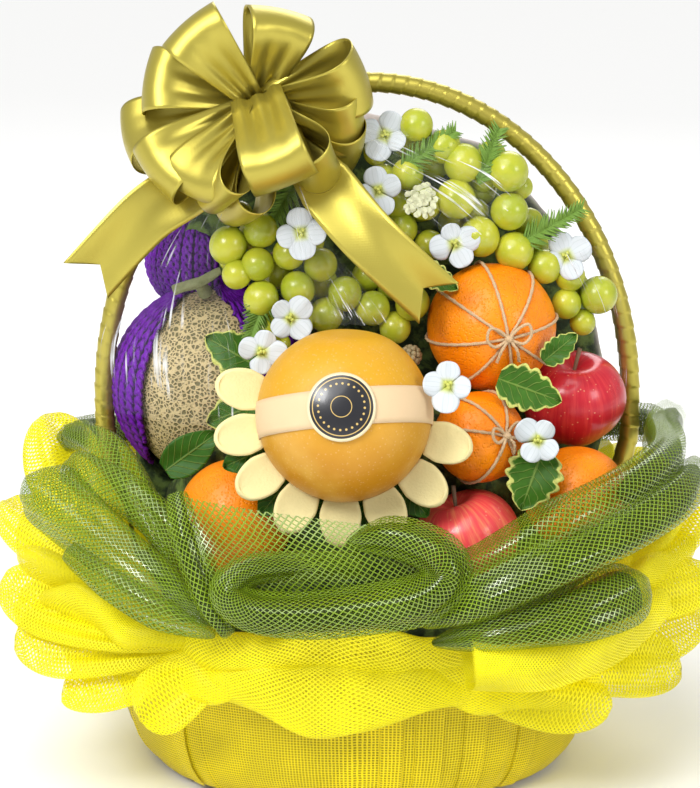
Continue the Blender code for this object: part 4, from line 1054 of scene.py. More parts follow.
def open_front(sleeve, middle):
    """Cut the tall oval opening out of the front of the melon's sleeve."""
    half_width, above, below = SLEEVE_OPENING
    select_only(sleeve)
    bpy.ops.object.mode_set(mode="EDIT")
    bpy.ops.mesh.select_mode(type="FACE")
    bpy.ops.mesh.select_all(action="DESELECT")
    bpy.ops.object.mode_set(mode="OBJECT")
    for face in sleeve.data.polygons:
        away = face.center - middle
        reach = above if away.z > 0 else below
        inside = (away.x / half_width) ** 2 + (away.z / reach) ** 2 < 1
        face.select = inside and away.y < 0.010
    bpy.ops.object.mode_set(mode="EDIT")
    bpy.ops.mesh.delete(type="FACE")
    bpy.ops.mesh.select_mode(type="VERT")
    bpy.ops.object.mode_set(mode="OBJECT")


def make_sleeves():
    """The half-open sleeve of the melon and the closed one of the fruit above it."""
    centre, radius = fruit_place("melon")
    sleeve = ball("knitted_sleeve", centre + mm((-2, 0, 0)), radius + 0.0030, 230, 130,
                  (1.025, 1.0, 1.0))
    knit(sleeve, centre)
    open_front(sleeve, centre + mm((-8, 0, -6)))
    apply_modifier(sleeve, "SOLIDIFY", thickness=SLEEVE_THICKNESS, offset=-1.0)
    finish_piece(sleeve, FINISHES["knit"], "purple_sleeve", "melon_sleeve")

    centre, radius = fruit_place("second_fruit")
    second = ball("second_fruit", centre, radius, 190, 110, (1.0, 0.8, 0.95))
    knit(second, centre)
    finish_piece(second, FINISHES["knit"], "purple_sleeve", "second_sleeve")


def make_melon_stalk():
    bar = tube_along("bar", scaled_route(*MELON_STALK_BAR, 24), 14,
                     lambda u, v: 1 + 0.12 * math.sin(math.tau * 3 * u + 9 * v))
    post = tube_along("post", scaled_route(*MELON_STALK_POST, 10), 14)
    stem = join_pieces([bar, post], "melon_stalk")
    finish_piece(stem, FINISHES["melon_stem"], "stem", "melon_stem")


BAND_WIDTH = 0.0205
BAND_LENGTH = 0.31
BAND_TURN = Matrix.Rotation(math.radians(-5), 3, "Y") @ Matrix.Rotation(math.radians(-20), 3, "X")
STICKER_RADIUS = 0.0190
PETAL_ANGLES = [166 + 178 * step / 7 for step in range(8)]
PETAL_ROOT, PETAL_TIP = 0.0480, 0.0742
PETAL_HALF_WIDTH = 0.0120
PETAL_THICKNESS = 0.0030


def petal_half_width(share):
    """Half width of a foam petal from its root to its round tip."""
    if share < 0.3:
        return PETAL_HALF_WIDTH * (0.80 + 0.66 * share)
    return PETAL_HALF_WIDTH * math.sqrt(max(0.0, 1 - ((share - 0.3) / 0.7) ** 2.2))


def make_pear():
    centre, radius = fruit_place("pear")

    def skin(point):
        away = (point - centre).normalized()
        lumps = 0.010 * noise.noise(away * 1.6)
        crown = 0.05 * math.exp(-((1 - away.z) / 0.05))
        return centre + away * radius * (1 + lumps - crown)

    pear = ball("round_pear", centre, radius)
    reshape(pear, skin)
    finish_piece(pear, FINISHES["pear"], "pear_skin", "pear")


def make_band():
    """The paper band round the pear."""
    centre, radius = fruit_place("pear")

    def place(u, v):
        height = (v - 0.5) * BAND_WIDTH
        reach = math.sqrt((radius + 0.0009) ** 2 - height ** 2)
        angle = math.tau * u
        return centre + BAND_TURN @ Vector((reach * math.sin(angle), reach * math.cos(angle),
                                            height))

    band = shaped_grid("paper_band", 120, 6, place, (BAND_LENGTH, BAND_WIDTH))
    merge_and_face_out(band)
    apply_modifier(band, "SOLIDIFY", thickness=0.0005, offset=-1.0)
    finish_piece(band, FINISHES["paper"], "band_paper", "pear_band")


def make_sticker():
    """The round sticker, curved like the pear under it."""
    centre, radius = fruit_place("pear")

    def place(u, v):
        reach = STICKER_RADIUS * v
        height = math.sqrt((radius + 0.0020) ** 2 - reach ** 2)
        angle = math.tau * u
        return centre + BAND_TURN @ Vector((reach * math.cos(angle), -height,
                                            reach * math.sin(angle)))

    sticker = shaped_grid("round_sticker", 72, 16, place)
    merge_and_face_out(sticker)
    apply_modifier(sticker, "SOLIDIFY", thickness=0.0008, offset=-1.0)
    finish_piece(sticker, FINISHES["sticker"], "sticker_print", "pear_sticker")


def make_foam_petals():
    """The collar of foam petals that shows round the lower half of the pear."""
    centre, _ = fruit_place("pear")
    lean = Matrix.Rotation(-VIEW_TILT, 3, "X")
    petals = []
    for number, degrees in enumerate(PETAL_ANGLES):
        angle = math.radians(degrees)
        outward = Vector((math.cos(angle), 0, math.sin(angle)))
        side = Vector((-math.sin(angle), 0, math.cos(angle)))

        def place(u, v):
            across = (u - 0.5) * 2
            reach = PETAL_ROOT + (PETAL_TIP - PETAL_ROOT) * v
            cup = 0.0020 * (1 - across ** 2) - 0.004 * v + 0.007
            return centre + lean @ (outward * reach + Vector((0, cup, 0))
                                    + side * petal_half_width(v) * across)

        petals.append(shaped_grid(f"petal_{number}", 10, 12, place))
    collar = join_pieces(petals, "foam_collar")
    merge_and_face_out(collar)
    apply_modifier(collar, "SOLIDIFY", thickness=PETAL_THICKNESS, offset=0.0)
    apply_modifier(collar, "SUBSURF", levels=1, render_levels=1)
    finish_piece(collar, FINISHES["foam"], "foam", "foam_petals")


STRAND = 0.0009     # radius of the twine
# twine round an orange: fruit, turns of the laps in degrees, direction of the knot, size of a loop
TWINES = {
    "top_twine": ("orange_top", (10, 55, 100, 145), (0.20, -0.95, 0.05), 0.013, "twine_top"),
    "mid_twine": ("orange_mid", (30, 80, 125), (0.50, -0.80, 0.25), 0.010, "twine_mid"),
}


def strand_along(name, points, samples=0):
    """A twisted strand of twine through the points, smoothed where samples are given."""
    values = [STRAND] * len(points)
    route = smooth_route(points, values, samples) if samples else list(zip(points, values))
    return tube_along(name, route, 8,
                      lambda u, v: 1 + 0.22 * math.sin(math.tau * (2 * u + 34 * v)))


def twine_laps(centre, radius, knot, turns, draw):
    """Circles of twine round a fruit, all through the knot."""
    side = knot.orthogonal().normalized()
    laps = []
    for turn in turns:
        across = Matrix.Rotation(math.radians(turn), 3, knot) @ side
        points = []
        for step in range(121):
            angle = math.tau * step / 120
            sway = draw.uniform(-0.0001, 0.0001)
            spot = knot * math.cos(angle) + across * math.sin(angle)
            points.append(centre + spot * (radius + STRAND + sway))
        laps.append(strand_along("lap", points))
    return laps


def twine_bow(front, knot, size):
    """Two ears and two ends of twine, and the knot that holds them."""
    up = (Vector((0, 0, 1)) - knot * knot.z).normalized()
    right = up.cross(knot).normalized()
    pieces = []
    for way, rise in ((1, 0.30), (-1, 0.15)):
        points = [front]
        for angle in (25, 60, 100, 140, 175):
            bend = math.radians(angle)
            reach = size * math.sin(bend)
            lift = size * 0.42 * math.sin(2 * bend)
            points.append(front + right * way * reach + up * (lift + rise * reach)
                          + knot * 0.0012 * math.sin(bend))
        points.append(front)
        pieces.append(strand_along("ear", points, 60))
        end = [front, front + right * way * 0.35 * size - up * 0.5 * size + knot * 0.001,
               front + right * way * 0.5 * size - up * 1.05 * size - knot * 0.002]
        pieces.append(strand_along("end", end, 30))
    pieces.append(ball("knot", front, 0.0026, 16, 12, (1.0, 1.0, 0.8)))
    return pieces


def make_twines():
    """Twine laid round two of the oranges, each tied in a small bow at the front."""
    for name, (fruit, turns, direction, size, node) in TWINES.items():
        centre, radius = fruit_place(fruit)
        knot = Vector(direction).normalized()
        pieces = twine_laps(centre, radius, knot, turns, random.Random(len(fruit)))
        pieces += twine_bow(centre + knot * (radius + 0.0020), knot, size)
        finish_piece(join_pieces(pieces, name), FINISHES["twine"], "twine", node)


ORANGES = ("orange_top", "orange_mid", "orange_right", "orange_left")


def make_oranges():
    for number, name in enumerate(ORANGES):
        centre, radius = fruit_place(name)
        orange = ball(f"peel_{name}", centre, radius)

        def peel(point):
            away = (point - centre).normalized()
            lumps = 0.010 * noise.noise(away * 2.0 + Vector((number, 0, 0)))
            crown = 0.04 * math.exp(-((1 - abs(away.z)) / 0.02))
            return centre + away * radius * (1 + lumps - crown)

        reshape(orange, peel)
        finish_piece(orange, FINISHES["orange"], "orange_peel", name)


# how each apple leans: angle in degrees and the axis that it turns about
APPLE_LEANS = {"apple_right": (12, "X"), "apple_bottom": (-20, "Y")}
APPLE_DIP, APPLE_DIP_ANGLE = 0.36, 0.40
APPLE_FOOT, APPLE_FOOT_ANGLE = 0.20, 0.34
APPLE_LOBES, APPLE_LOBE_DEPTH = 5, 0.020
APPLE_TALLNESS = 0.93
STALK_RADII = (0.0011, 0.0014)


def make_apples():
    for name, (angle, axis) in APPLE_LEANS.items():
        turn = Matrix.Rotation(math.radians(angle), 3, axis)
        centre, radius = fruit_place(name)
        apple = ball(f"skin_{name}", centre, radius)

        def skin(point):
            away = (point - centre).normalized()
            down = math.acos(max(-1.0, min(1.0, away.z)))
            dip = APPLE_DIP * math.exp(-(down / APPLE_DIP_ANGLE) ** 2)
            foot = APPLE_FOOT * math.exp(-((math.pi - down) / APPLE_FOOT_ANGLE) ** 2)
            around = math.atan2(away.y, away.x)
            lobes = APPLE_LOBE_DEPTH * math.cos(APPLE_LOBES * around) * (1 - away.z) / 2
            width = 1.0 - 0.10 * max(0.0, -away.z) ** 1.5
            reach = radius * (1.0 - dip - foot + lobes)
            flat = Vector((away.x * width, away.y * width, away.z * APPLE_TALLNESS))
            return centre + turn @ (flat * reach)

        reshape(apple, skin)
        crown = centre + turn @ Vector((0, 0, 0.60 * radius))
        tip = centre + turn @ Vector((0.003, 0.002, 1.02 * radius))
        stalk = tube_along(f"stalk_{name}", smooth_route([crown, tip], STALK_RADII, 8), 10)
        finish_piece(stalk, FINISHES["twig"], "stem")
        finish_piece(apple, FINISHES[name], "apple_skin", name)


# ---------------------------------------------------------------- grapes
TWIG_RADII = (0.0011, 0.0008, 0.0011)


def stem_pairs(places):
    """The shortest tree of stems that joins all the berries of a bunch."""
    joined, pairs = {0}, []
    while len(joined) < len(places):
        options = [((places[near][0] - places[far][0]).length, near, far)
                   for near in joined for far in range(len(places)) if far not in joined]
        _, near, far = min(options)
        joined.add(far)
        pairs.append((near, far))
    return pairs


def copy_piece(source, name):
    copy = source.copy()
    copy.data = source.data.copy()
    copy.name = name
    bpy.context.scene.collection.objects.link(copy)
    return copy


def make_bunch(name, berries, node, twig_name):
    """A bunch of grapes on brown stems."""
    draw = random.Random(len(berries))
    places = [(mm(berry[:3]), berry[3] * 0.001) for berry in berries]
    berry = ball("berry", (0, 0, 0), 1.0, segments=26, rings=18)
    pieces = []
    for number, (centre, radius) in enumerate(places):
        copy = copy_piece(berry, f"berry_{number}")
        longer = draw.uniform(1.0, 1.07)
        turn = Matrix.Rotation(draw.uniform(-0.6, 0.6), 4, "Y")
        size = Matrix.Diagonal((radius, radius, radius * longer, 1.0))
        copy.data.transform(Matrix.Translation(centre) @ turn @ size)
        pieces.append(copy)
    bpy.data.objects.remove(berry)
    finish_piece(join_pieces(pieces, name), FINISHES["grape"], "grape_skin", node)
    twigs = []
    for near, far in stem_pairs(places):
        start, end = places[near][0], places[far][0]
        middle = start.lerp(end, 0.5) + Vector((0, 0.004, draw.uniform(-0.003, 0.003)))
        route = smooth_route([start, middle, end], TWIG_RADII, 8)
        twigs.append(tube_along("twig", route, 6))
    finish_piece(join_pieces(twigs, twig_name), FINISHES["twig"], "stem")


# ---------------------------------------------------------------- flowers and leaves
FLOWER_RADIUS = 0.0143
FLOWER_THICKNESS = 0.0004
STAMENS = ((0, -4.2, 0), (1.5, -3.7, 1.0), (-1.2, -3.7, 1.2), (0.2, -3.7, -1.6))
FLORETS = 13
FLORET_RADIUS = 0.0040
GOLDEN_ANGLE = 2.399963
LEAF_THICKNESS = 0.0005
LEAF_STRETCH = 1.12         # how much longer and wider a leaf is than its solid
IVY_TEETH, IVY_TOOTH_DEPTH = 5, 0.22
TUCKED_LEAF = (0.025, 0.019)
NEEDLES = 60
NEEDLE_LENGTH, NEEDLE_THICKNESS = 0.0125, 0.0010
CONE_SCALES = 34


def node_middle(node):
    low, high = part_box(node)
    return (Vector(low) + Vector(high)) / 2


def lean_to_view(turn):
    """The turn of a flower or leaf that leans back and is rolled by turn degrees."""
    return Matrix.Rotation(-VIEW_TILT, 3, "X") @ Matrix.Rotation(-math.radians(turn), 3, "Y")


def put_at(piece, place, turn):
    """Move a piece from the origin to its place and lean and roll it."""
    piece.data.transform(Matrix.Translation(place) @ lean_to_view(turn).to_4x4())


def flower_petal(number, radius, turn, draw):
    """One round petal, cupped and a little wavy, in the plane that faces the front."""
    roll = Matrix.Rotation(turn, 3, "Y")
    wave = draw.uniform(0, math.tau)
    cup = draw.uniform(0.10, 0.28)

    def place(u, v):
        across = (u - 0.5) * 2
        reach = radius * (0.06 + 0.94 * v)
        half = radius * 0.50 * math.sqrt(max(0.004, 1 - ((v - 0.56) / 0.60) ** 2))
        half *= min(1.0, 0.30 + 1.6 * v)
        dome = cup * radius * (across ** 2 * 0.5 - v ** 2 * 0.8)
        ripple = 0.035 * radius * math.sin(5 * across + wave) * v
        return roll @ Vector((half * across, -0.001 + dome + ripple, reach
                              - 0.10 * radius * across ** 2 * v))

    return shaped_grid(f"flower_petal_{number}", 10, 10, place)


def make_flowers():
    draw = random.Random(5)
    for number, turn in enumerate(FLOWER_TURNS, 1):
        middle = node_middle(f"flower_{number}")
        petals = [flower_petal(index, FLOWER_RADIUS * draw.uniform(0.84, 1.10),
                               math.radians(90 * index + draw.uniform(-9, 9)), draw)
                  for index in range(4)]
        flower = join_pieces(petals, f"white_flower_{number}")
        put_at(flower, middle + Vector((0, -0.0012, 0)), turn)
        apply_modifier(flower, "SOLIDIFY", thickness=FLOWER_THICKNESS, offset=0.0)
        finish_piece(flower, FINISHES["flower"], "flower_petal", f"flower_{number}")
        grains = [ball("grain", middle + lean_to_view(turn) @ mm(spot), 0.0011, 10, 8)
                  for spot in STAMENS]
        finish_piece(join_pieces(grains, f"stamens_{number}"), FINISHES["stamen"], "flower_petal")


def make_blossom():
    """A cluster of tiny cream florets."""
    draw = random.Random(11)
    middle = node_middle("blossom")
    florets = []
    for number in range(FLORETS):
        angle = 2.4 * number
        reach = 0.0023 * math.sqrt(number)
        spot = middle + lean_to_view(0) @ Vector((reach * math.cos(angle), -0.002
                                                  + 0.4 * reach, reach * math.sin(angle)))
        for index in range(4):
            petal = flower_petal(index, FLORET_RADIUS,
                                 math.radians(90 * index) + draw.uniform(0, 1), draw)
            tilt = Matrix.Rotation(draw.uniform(-0.5, 0.5), 4, "Z")
            petal.data.transform(Matrix.Translation(spot) @ tilt)
            florets.append(petal)
    piece = join_pieces(florets, "cream_blossom")
    finish_piece(piece, FINISHES["blossom"], "flower_petal", "blossom")


def leaf_blade(name, length, width, teeth):
    """A leaf in the plane that faces the front, along +X from its stalk."""
    depth = IVY_TOOTH_DEPTH if teeth else 0.0

    def place(u, v):
        across = (u - 0.5) * 2
        body = math.sin(math.pi * min(1.0, 0.06 + 0.94 * v) ** 0.78) ** 0.72
        tooth = abs(math.sin(math.pi * teeth * v)) if teeth else 0.0
        half = width / 2 * body * (1 - depth + depth * tooth) + 0.0003
        fold = 0.0022 * abs(across) - 0.0040 * (v - 0.4) ** 2
        wave = 0.0009 * math.sin(7 * v + 2.2 * across)
        return Vector(((v - 0.5) * length, -fold + wave, half * across))

    return shaped_grid(name, 14, 34, place)


def make_leaf(name, number, size, turn, teeth=0):
    """A leaf in its node's place: variegated ivy if it has teeth, and else a glossy leaf."""
    piece = leaf_blade(name, *size, teeth)
    put_at(piece, node_middle(f"leaf_{number}"), turn)
    apply_modifier(piece, "SOLIDIFY", thickness=LEAF_THICKNESS, offset=0.0)
    finish_piece(piece, FINISHES["ivy" if teeth else "glossy_leaf"], "leaf", f"leaf_{number}")


def make_leaves():
    for number, (length, width, turn) in enumerate(LEAVES, 1):
        size = (length * 0.001 * LEAF_STRETCH, width * 0.001 * LEAF_STRETCH)
        make_leaf(f"ivy_{number}", number, size, turn,
                  teeth=0 if number == GLOSSY_LEAF else IVY_TEETH)
    for number, angle in enumerate(TUCKED_LEAF_ANGLES, len(LEAVES) + 1):
        make_leaf(f"tucked_leaf_{number}", number, TUCKED_LEAF, angle)


def needle_cone(name, start, end, thickness):
    """A thin pointed needle from start to end."""
    along = end - start
    deselect_all()
    bpy.ops.mesh.primitive_cone_add(vertices=4, radius1=thickness, radius2=0.15 * thickness,
                                    depth=along.length, location=start.lerp(end, 0.5),
                                    rotation=along.to_track_quat("Z", "Y").to_euler())
    return name_piece(name)


def make_sprigs():
    draw = random.Random(3)
    for number, (length, turn) in enumerate(SPRIGS, 1):
        middle = node_middle(f"sprig_{number}")
        half = length * 0.00055
        stem = tube_along("stem", smooth_route([Vector((-half, 0, 0)), Vector((half, 0, 0))],
                                               [0.0010, 0.0004], 12), 6)
        pieces = [stem]
        for step in range(NEEDLES):
            share = step / (NEEDLES - 1)
            side = 1 if step % 2 else -1
            start = Vector((half * (2 * share - 1), 0, 0))
            reach = NEEDLE_LENGTH * (1 - 0.45 * share) * draw.uniform(0.8, 1.1)
            sweep = math.radians(draw.uniform(40, 58))
            lift = draw.uniform(-0.35, 0.15)
            end = start + Vector((math.cos(sweep), lift, side * math.sin(sweep))) * reach
            pieces.append(needle_cone("needle", start, end, NEEDLE_THICKNESS))
        piece = join_pieces(pieces, f"pine_sprig_{number}")
        put_at(piece, middle, turn)
        finish_piece(piece, FINISHES["needles"], "leaf", f"sprig_{number}")


def make_pinecone():
    middle = node_middle("pinecone")
    pieces = [ball("core", middle, 0.0042, 16, 12)]
    for step in range(CONE_SCALES):
        share = (step + 0.5) / CONE_SCALES
        tilt = math.acos(1 - 1.8 * share)
        angle = GOLDEN_ANGLE * step
        out = Vector((math.sin(tilt) * math.cos(angle), -math.cos(tilt),
                      math.sin(tilt) * math.sin(angle)))
        pieces.append(ball("scale", middle + out * 0.0052, 0.0018, 8, 6, (1.0, 0.7, 1.0)))
    finish_piece(join_pieces(pieces, "gilt_cone"), FINISHES["cone"], "pinecone", "pinecone")


# ---------------------------------------------------------------- nets
OPEN_ROLLS = ("lip", "right_a")
HOLLOW_ROLLS = ("finger_a", "finger_b", "finger_c", "finger_d", "right_a")
INNER_SHARE = 0.70      # width of an inner roll in its outer one
FILLED_FROM = 3         # point of the upper right roll from where it has net inside it too


def green_roll(name, route, radii, size, layer):
    """One layer of a roll of green net, with long folds and, unless it is open, round ends."""
    route = [mm(point) for point in route]
    radii = [radius * 0.001 * size for radius in radii]
    closed = name not in OPEN_ROLLS
    if closed:
        onwards = (route[-1] - route[-2]).normalized() * radii[-1]
        route.append(route[-1] + onwards)
        radii.append(radii[-1])
    samples = 24 * (len(route) - 1)
    draw = random.Random(sum(map(ord, name)) + layer)
    phases = [draw.uniform(0, math.tau) for _ in range(4)]
    tip = 1 / (len(route) - 1)

    def ripple(u, v):
        angle = math.tau * u
        folds = 0.10 * math.sin(2 * angle + phases[0] + 3 * v)
        folds += 0.07 * math.sin(4 * angle + phases[1] - 3 * v)
        folds += 0.025 * math.sin(9 * angle + phases[2] + 5 * v)
        along = 0.05 * math.sin(math.tau * 1.7 * v + phases[3])
        scale = 1 + folds + along
        if closed and v > 1 - tip:
            scale *= math.sqrt(max(0.0, 1 - ((v - 1 + tip) / tip) ** 2))
        if closed and v < 0.8 * tip:
            scale *= 0.15 + 0.85 * (v / (0.8 * tip)) ** 0.6
        return scale

    return tube_along(f"{name}_{layer}", smooth_route(route, radii, samples), 56, ripple)


def make_green_net():
    """Rolls of green net along the front rim and one behind, and the flat stretch."""
    outer, inner = [], []
    for name, (route, radii) in GREEN_ROLLS.items():
        outer.append(green_roll(name, route, radii, 1.0, 0))
        if name not in HOLLOW_ROLLS:
            inner.append(green_roll(name, route, radii, INNER_SHARE, 1))
    route, radii = GREEN_ROLLS["right_a"]
    inner.append(green_roll("right_end", route[FILLED_FROM:], radii[FILLED_FROM:], INNER_SHARE, 1))
    columns = 48
    top = smooth_line(PANEL_TOP, columns + 1)
    foot = smooth_line(PANEL_FOOT, columns + 1)

    def place(u, v):
        column = round(u * columns)
        bulge = -0.006 * math.sin(math.pi * v) - 0.0012 * math.sin(9 * u + 5 * v)
        hem = 0.0020 * math.sin(math.tau * v) * math.sin(6 * u)
        return foot[column].lerp(top[column], v) + Vector((0, bulge, hem))

    outer.append(shaped_grid("panel", columns, 24, place, (0.10, 0.055)))
    net = join_pieces(outer, "green_rolls")
    finish_piece(net, FINISHES["green_net"], "green_net", "net_green")
    # the inner rolls take the painted shade of the green
    core = join_pieces(inner, "green_inner_rolls")
    finish_piece(core, FINISHES["shaded_green_core"], "green_net")


# puffs of yellow net: middle and half span in degrees from the front, height of the root, reach
# out, rise of the tip, thickness, all but the angles in millimetres
UPPER_PUFFS = (
    (-7, 29, 104, 18, 7, 26), (46, 26, 106, 24, 8, 24), (72, 26, 110, 40, 24, 26),
    (104, 28, 112, 46, 48, 24), (140, 30, 113, 30, 68, 20), (176, 28, 113, 22, 80, 18),
    (212, 28, 113, 26, 74, 20), (246, 26, 112, 42, 56, 24), (272, 24, 112, 52, 34, 26),
    (300, 24, 108, 40, 10, 24),
)
LOWER_PUFFS = (
    (-8, 30, 90, 20, -14, 28), (36, 22, 95, 22, -22, 20), (72, 24, 96, 26, -18, 22),
    (128, 28, 98, 30, -6, 20), (168, 28, 98, 26, -6, 20), (206, 28, 98, 26, -6, 20),
    (288, 22, 96, 24, -18, 22), (320, 18, 95, 22, -16, 20),
)
# lobes of yellow net: root, tip, half width and thickness, in millimetres
UPPER_LOBES = (
    ((-86, -118, 106), (-212, -46, 118), 24, 11), ((-112, -90, 108), (-210, -10, 160), 24, 11),
    ((-130, -50, 110), (-192, 24, 202), 26, 10), ((112, -100, 108), (212, -36, 124), 25, 12),
    ((134, -50, 110), (212, -4, 166), 25, 11), ((130, 50, 110), (196, 60, 160), 28, 10),
    ((-130, 50, 110), (-196, 64, 160), 28, 10),
)
LOWER_LOBES = (
    ((-84, -120, 102), (-200, -68, 96), 24, 10), ((-82, -122, 98), (-172, -92, 68), 20, 9),
    ((-76, -126, 96), (-122, -142, 66), 20, 8), ((-118, -84, 102), (-204, -20, 100), 24, 10),
    ((54, -130, 94), (146, -120, 64), 22, 10), ((80, -122, 94), (192, -74, 72), 23, 10),
    ((112, -96, 98), (208, -40, 96), 25, 10), ((132, -40, 100), (210, 6, 110), 25, 10),
    ((134, 30, 100), (198, 56, 98), 25, 10), ((-134, 30, 100), (-196, 56, 98), 25, 10),
    ((90, 96, 100), (122, 148, 96), 26, 10), ((30, 112, 100), (34, 168, 98), 26, 9),
    ((-40, 112, 100), (-52, 166, 98), 26, 9), ((-100, 90, 100), (-136, 140, 96), 26, 10),
)
ROLL_OF_YELLOW = (((62, -160, 110), (80, -156, 110), (106, -144, 107), (142, -114, 107),
                   (176, -70, 114)), (17, 18, 18, 15, 10))


def puff_of_net(name, puff, seed):
    """A doubled length of net, gathered at both ends, that bulges out from the rim."""
    middle, span, root_height, reach, rise, thickness = puff
    middle, span = math.radians(middle), math.radians(span)
    root_height, reach, rise, thickness = (value * 0.001 for value in
                                           (root_height, reach, rise, thickness))
    draw = random.Random(seed)
    phases = [draw.uniform(0, math.tau) for _ in range(6)]

    def place(u, v):
        side = 2 * u - 1
        swell = max(0.0, 1 - abs(side) ** 2.4) ** 0.55
        angle = middle + side * span
        round_way = math.tau * v
        out = 0.5 * (1 - math.cos(round_way))
        fat = math.sin(round_way)
        pleat = math.sin(9 * side + phases[0] + 3.4 * out) * 0.0022 * out
        pleat += math.sin(17 * side + phases[1] - 2 * out) * 0.0010 * (1 - 0.5 * out)
        pleat += math.sin(5 * side + 5 * v + phases[4]) * 0.0032 * swell
        scallop = 1 + 0.14 * math.sin(4 * side + phases[2])
        push = reach * swell * out ** 0.8 * scallop
        up = rise * swell * out * scallop + 0.5 * thickness * fat * swell ** 0.5 + pleat
        up += 0.005 * math.sin(6 * side + phases[3]) * out * swell
        spread = angle + 0.10 * out * side
        dent = 0.003 * math.sin(7 * v + 3 * side + phases[5]) * swell
        half_width = bowl_half_width(0.106) + 0.0055 + push + 0.8 * pleat + dent
        return oval_point(spread, half_width, root_height + up)

    girth = 2.1 * (reach + abs(rise)) + thickness
    piece = shaped_grid(name, 110, 60, place, (2 * span * 0.16, girth))
    merge_and_face_out(piece, FINE_SEAM)
    return piece


def lobe_of_net(name, lobe, seed):
    """A doubled flap of net that fans out from a gathered root to a round rolled edge."""
    root, tip, half_width, thickness = lobe
    root, tip = mm(root), mm(tip)
    half_width, thickness = half_width * 0.001, thickness * 0.001
    along = (tip - root).normalized()
    backwards = along.cross(Vector((0, 0, 1))).normalized()
    if backwards.y < 0:
        backwards.negate()
    behind = max(0.0, along.y)
    across = (0.45 + 0.5 * behind) * backwards + Vector((0, 0, 0.9 - 0.75 * behind))
    across = (across - along * across.dot(along)).normalized()
    normal = across.cross(along)
    length = (tip - root).length
    draw = random.Random(seed)
    phases = [draw.uniform(0, math.tau) for _ in range(5)]
    bend = draw.uniform(-0.010, 0.012)

    def place(u, v):
        side, fat = math.cos(math.tau * u), math.sin(math.tau * u)
        open_out = math.sin(math.pi / 2 * min(1.0, v / 0.72)) ** 0.8
        rounded = math.sqrt(max(0.0, 1 - max(0.0, (v - 0.66) / 0.34) ** 2.2))
        width = half_width * (0.12 + 0.88 * open_out) * rounded
        thick = thickness * (0.25 + 0.75 * open_out) * rounded ** 0.7
        pleat = 0.0016 * math.sin(8 * side + phases[0] + 1.5 * v) * (1.2 - v)
        pleat += 0.0008 * math.sin(15 * side + phases[1]) * (1.2 - v)
        wave = 0.0060 * math.sin(2.6 * side + phases[2] + 1.8 * v) * v
        wave += 0.0025 * math.sin(5.5 * side + phases[3] - 3 * v) * v
        lift = bend * math.sin(math.pi * v) + rounded * (wave + pleat * fat) + 0.5 * thick * fat
        sway = 0.004 * math.sin(3.1 * v + phases[4])
        return root + along * length * v + across * (width * side + sway) + normal * lift

    piece = shaped_grid(name, 84, 48, place, (2.4 * half_width, length))
    merge_and_face_out(piece, FINE_SEAM)
    return piece


def make_yellow_net():
    """Two layers of yellow net round the rim, each of puffs between the ties and of lobes."""
    for name, puffs, lobes, node in (
            ("upper_frill", UPPER_PUFFS, UPPER_LOBES, "net_yellow_upper"),
            ("lower_frill", LOWER_PUFFS, LOWER_LOBES, "net_yellow_lower")):
        pieces = [puff_of_net(f"{name}_puff_{number}", puff, 31 * number + len(puffs))
                  for number, puff in enumerate(puffs)]
        pieces += [lobe_of_net(f"{name}_lobe_{number}", lobe, 17 * number + len(lobes))
                   for number, lobe in enumerate(lobes)]
        piece = join_pieces(pieces, name)
        finish_piece(piece, FINISHES["yellow_net"], "yellow_net", node)
    route = scaled_route(*ROLL_OF_YELLOW, 60)
    rolls = [tube_along(f"yellow_roll_{layer}", [(spot, radius * size) for spot, radius in route],
                        48, lambda u, v: 1 + 0.05 * math.sin(4 * math.tau * u + 6 * v))
             for layer, size in enumerate((1.0, 0.72))]
    roll = join_pieces(rolls, "yellow_roll")
    finish_piece(roll, FINISHES["yellow_net"], "yellow_net")


# ---------------------------------------------------------------- bow
RIBBON_THICKNESS = 0.0005
TIE_SIZE = (0.012, 0.045)
NECK_SIZE = (0.03, 0.03)
TAIL_STEPS = 48
TAIL_LENGTH = 0.13
TAIL_NOTCH = 0.012


def ribbon_loop(name, loop, width, covers_knot):
    """One loop of the bow: out from the knot, round the tip and back."""
    tip, roll, opening, root_depth = loop
    centre = mm(BOW_CENTRE) + mm((0, root_depth, 7 if covers_knot else 0))
    root_width = 0.80 if covers_knot else 0.34
    reach = mm(tip)
    length = reach.length
    out = reach.normalized()
    across = out.cross(Vector((0, -1, 0))).normalized()
    across = Matrix.Rotation(math.radians(roll), 3, out) @ across
    open_way = across.cross(out).normalized()
    half = opening * 0.00062

    def place(u, v):
        turn = math.pi * (v - 0.5)
        swell = max(0.0, math.cos(turn))
        along = length * swell ** 0.60 + 0.002
        lift = half * math.sin(2 * turn) * 1.15 + 0.0025 * math.sin(turn) * (1 - swell)
        side = 2 * u - 1
        spread = width / 2 * (root_width + (1 - root_width) * swell ** 0.55)
        cup = 0.0042 * (side ** 2 - 0.3) * (1 - swell) ** 0.6 * math.copysign(1, math.sin(turn))
        pinch = 0.0016 * math.cos(3 * math.pi * side) * (1 - swell) ** 2
        return (centre + out * (along - 0.002 * side ** 2 * swell)
                + open_way * (lift + cup + pinch) + across * spread * side)

    return shaped_grid(name, 16, 64, place, (width, 2.1 * length))


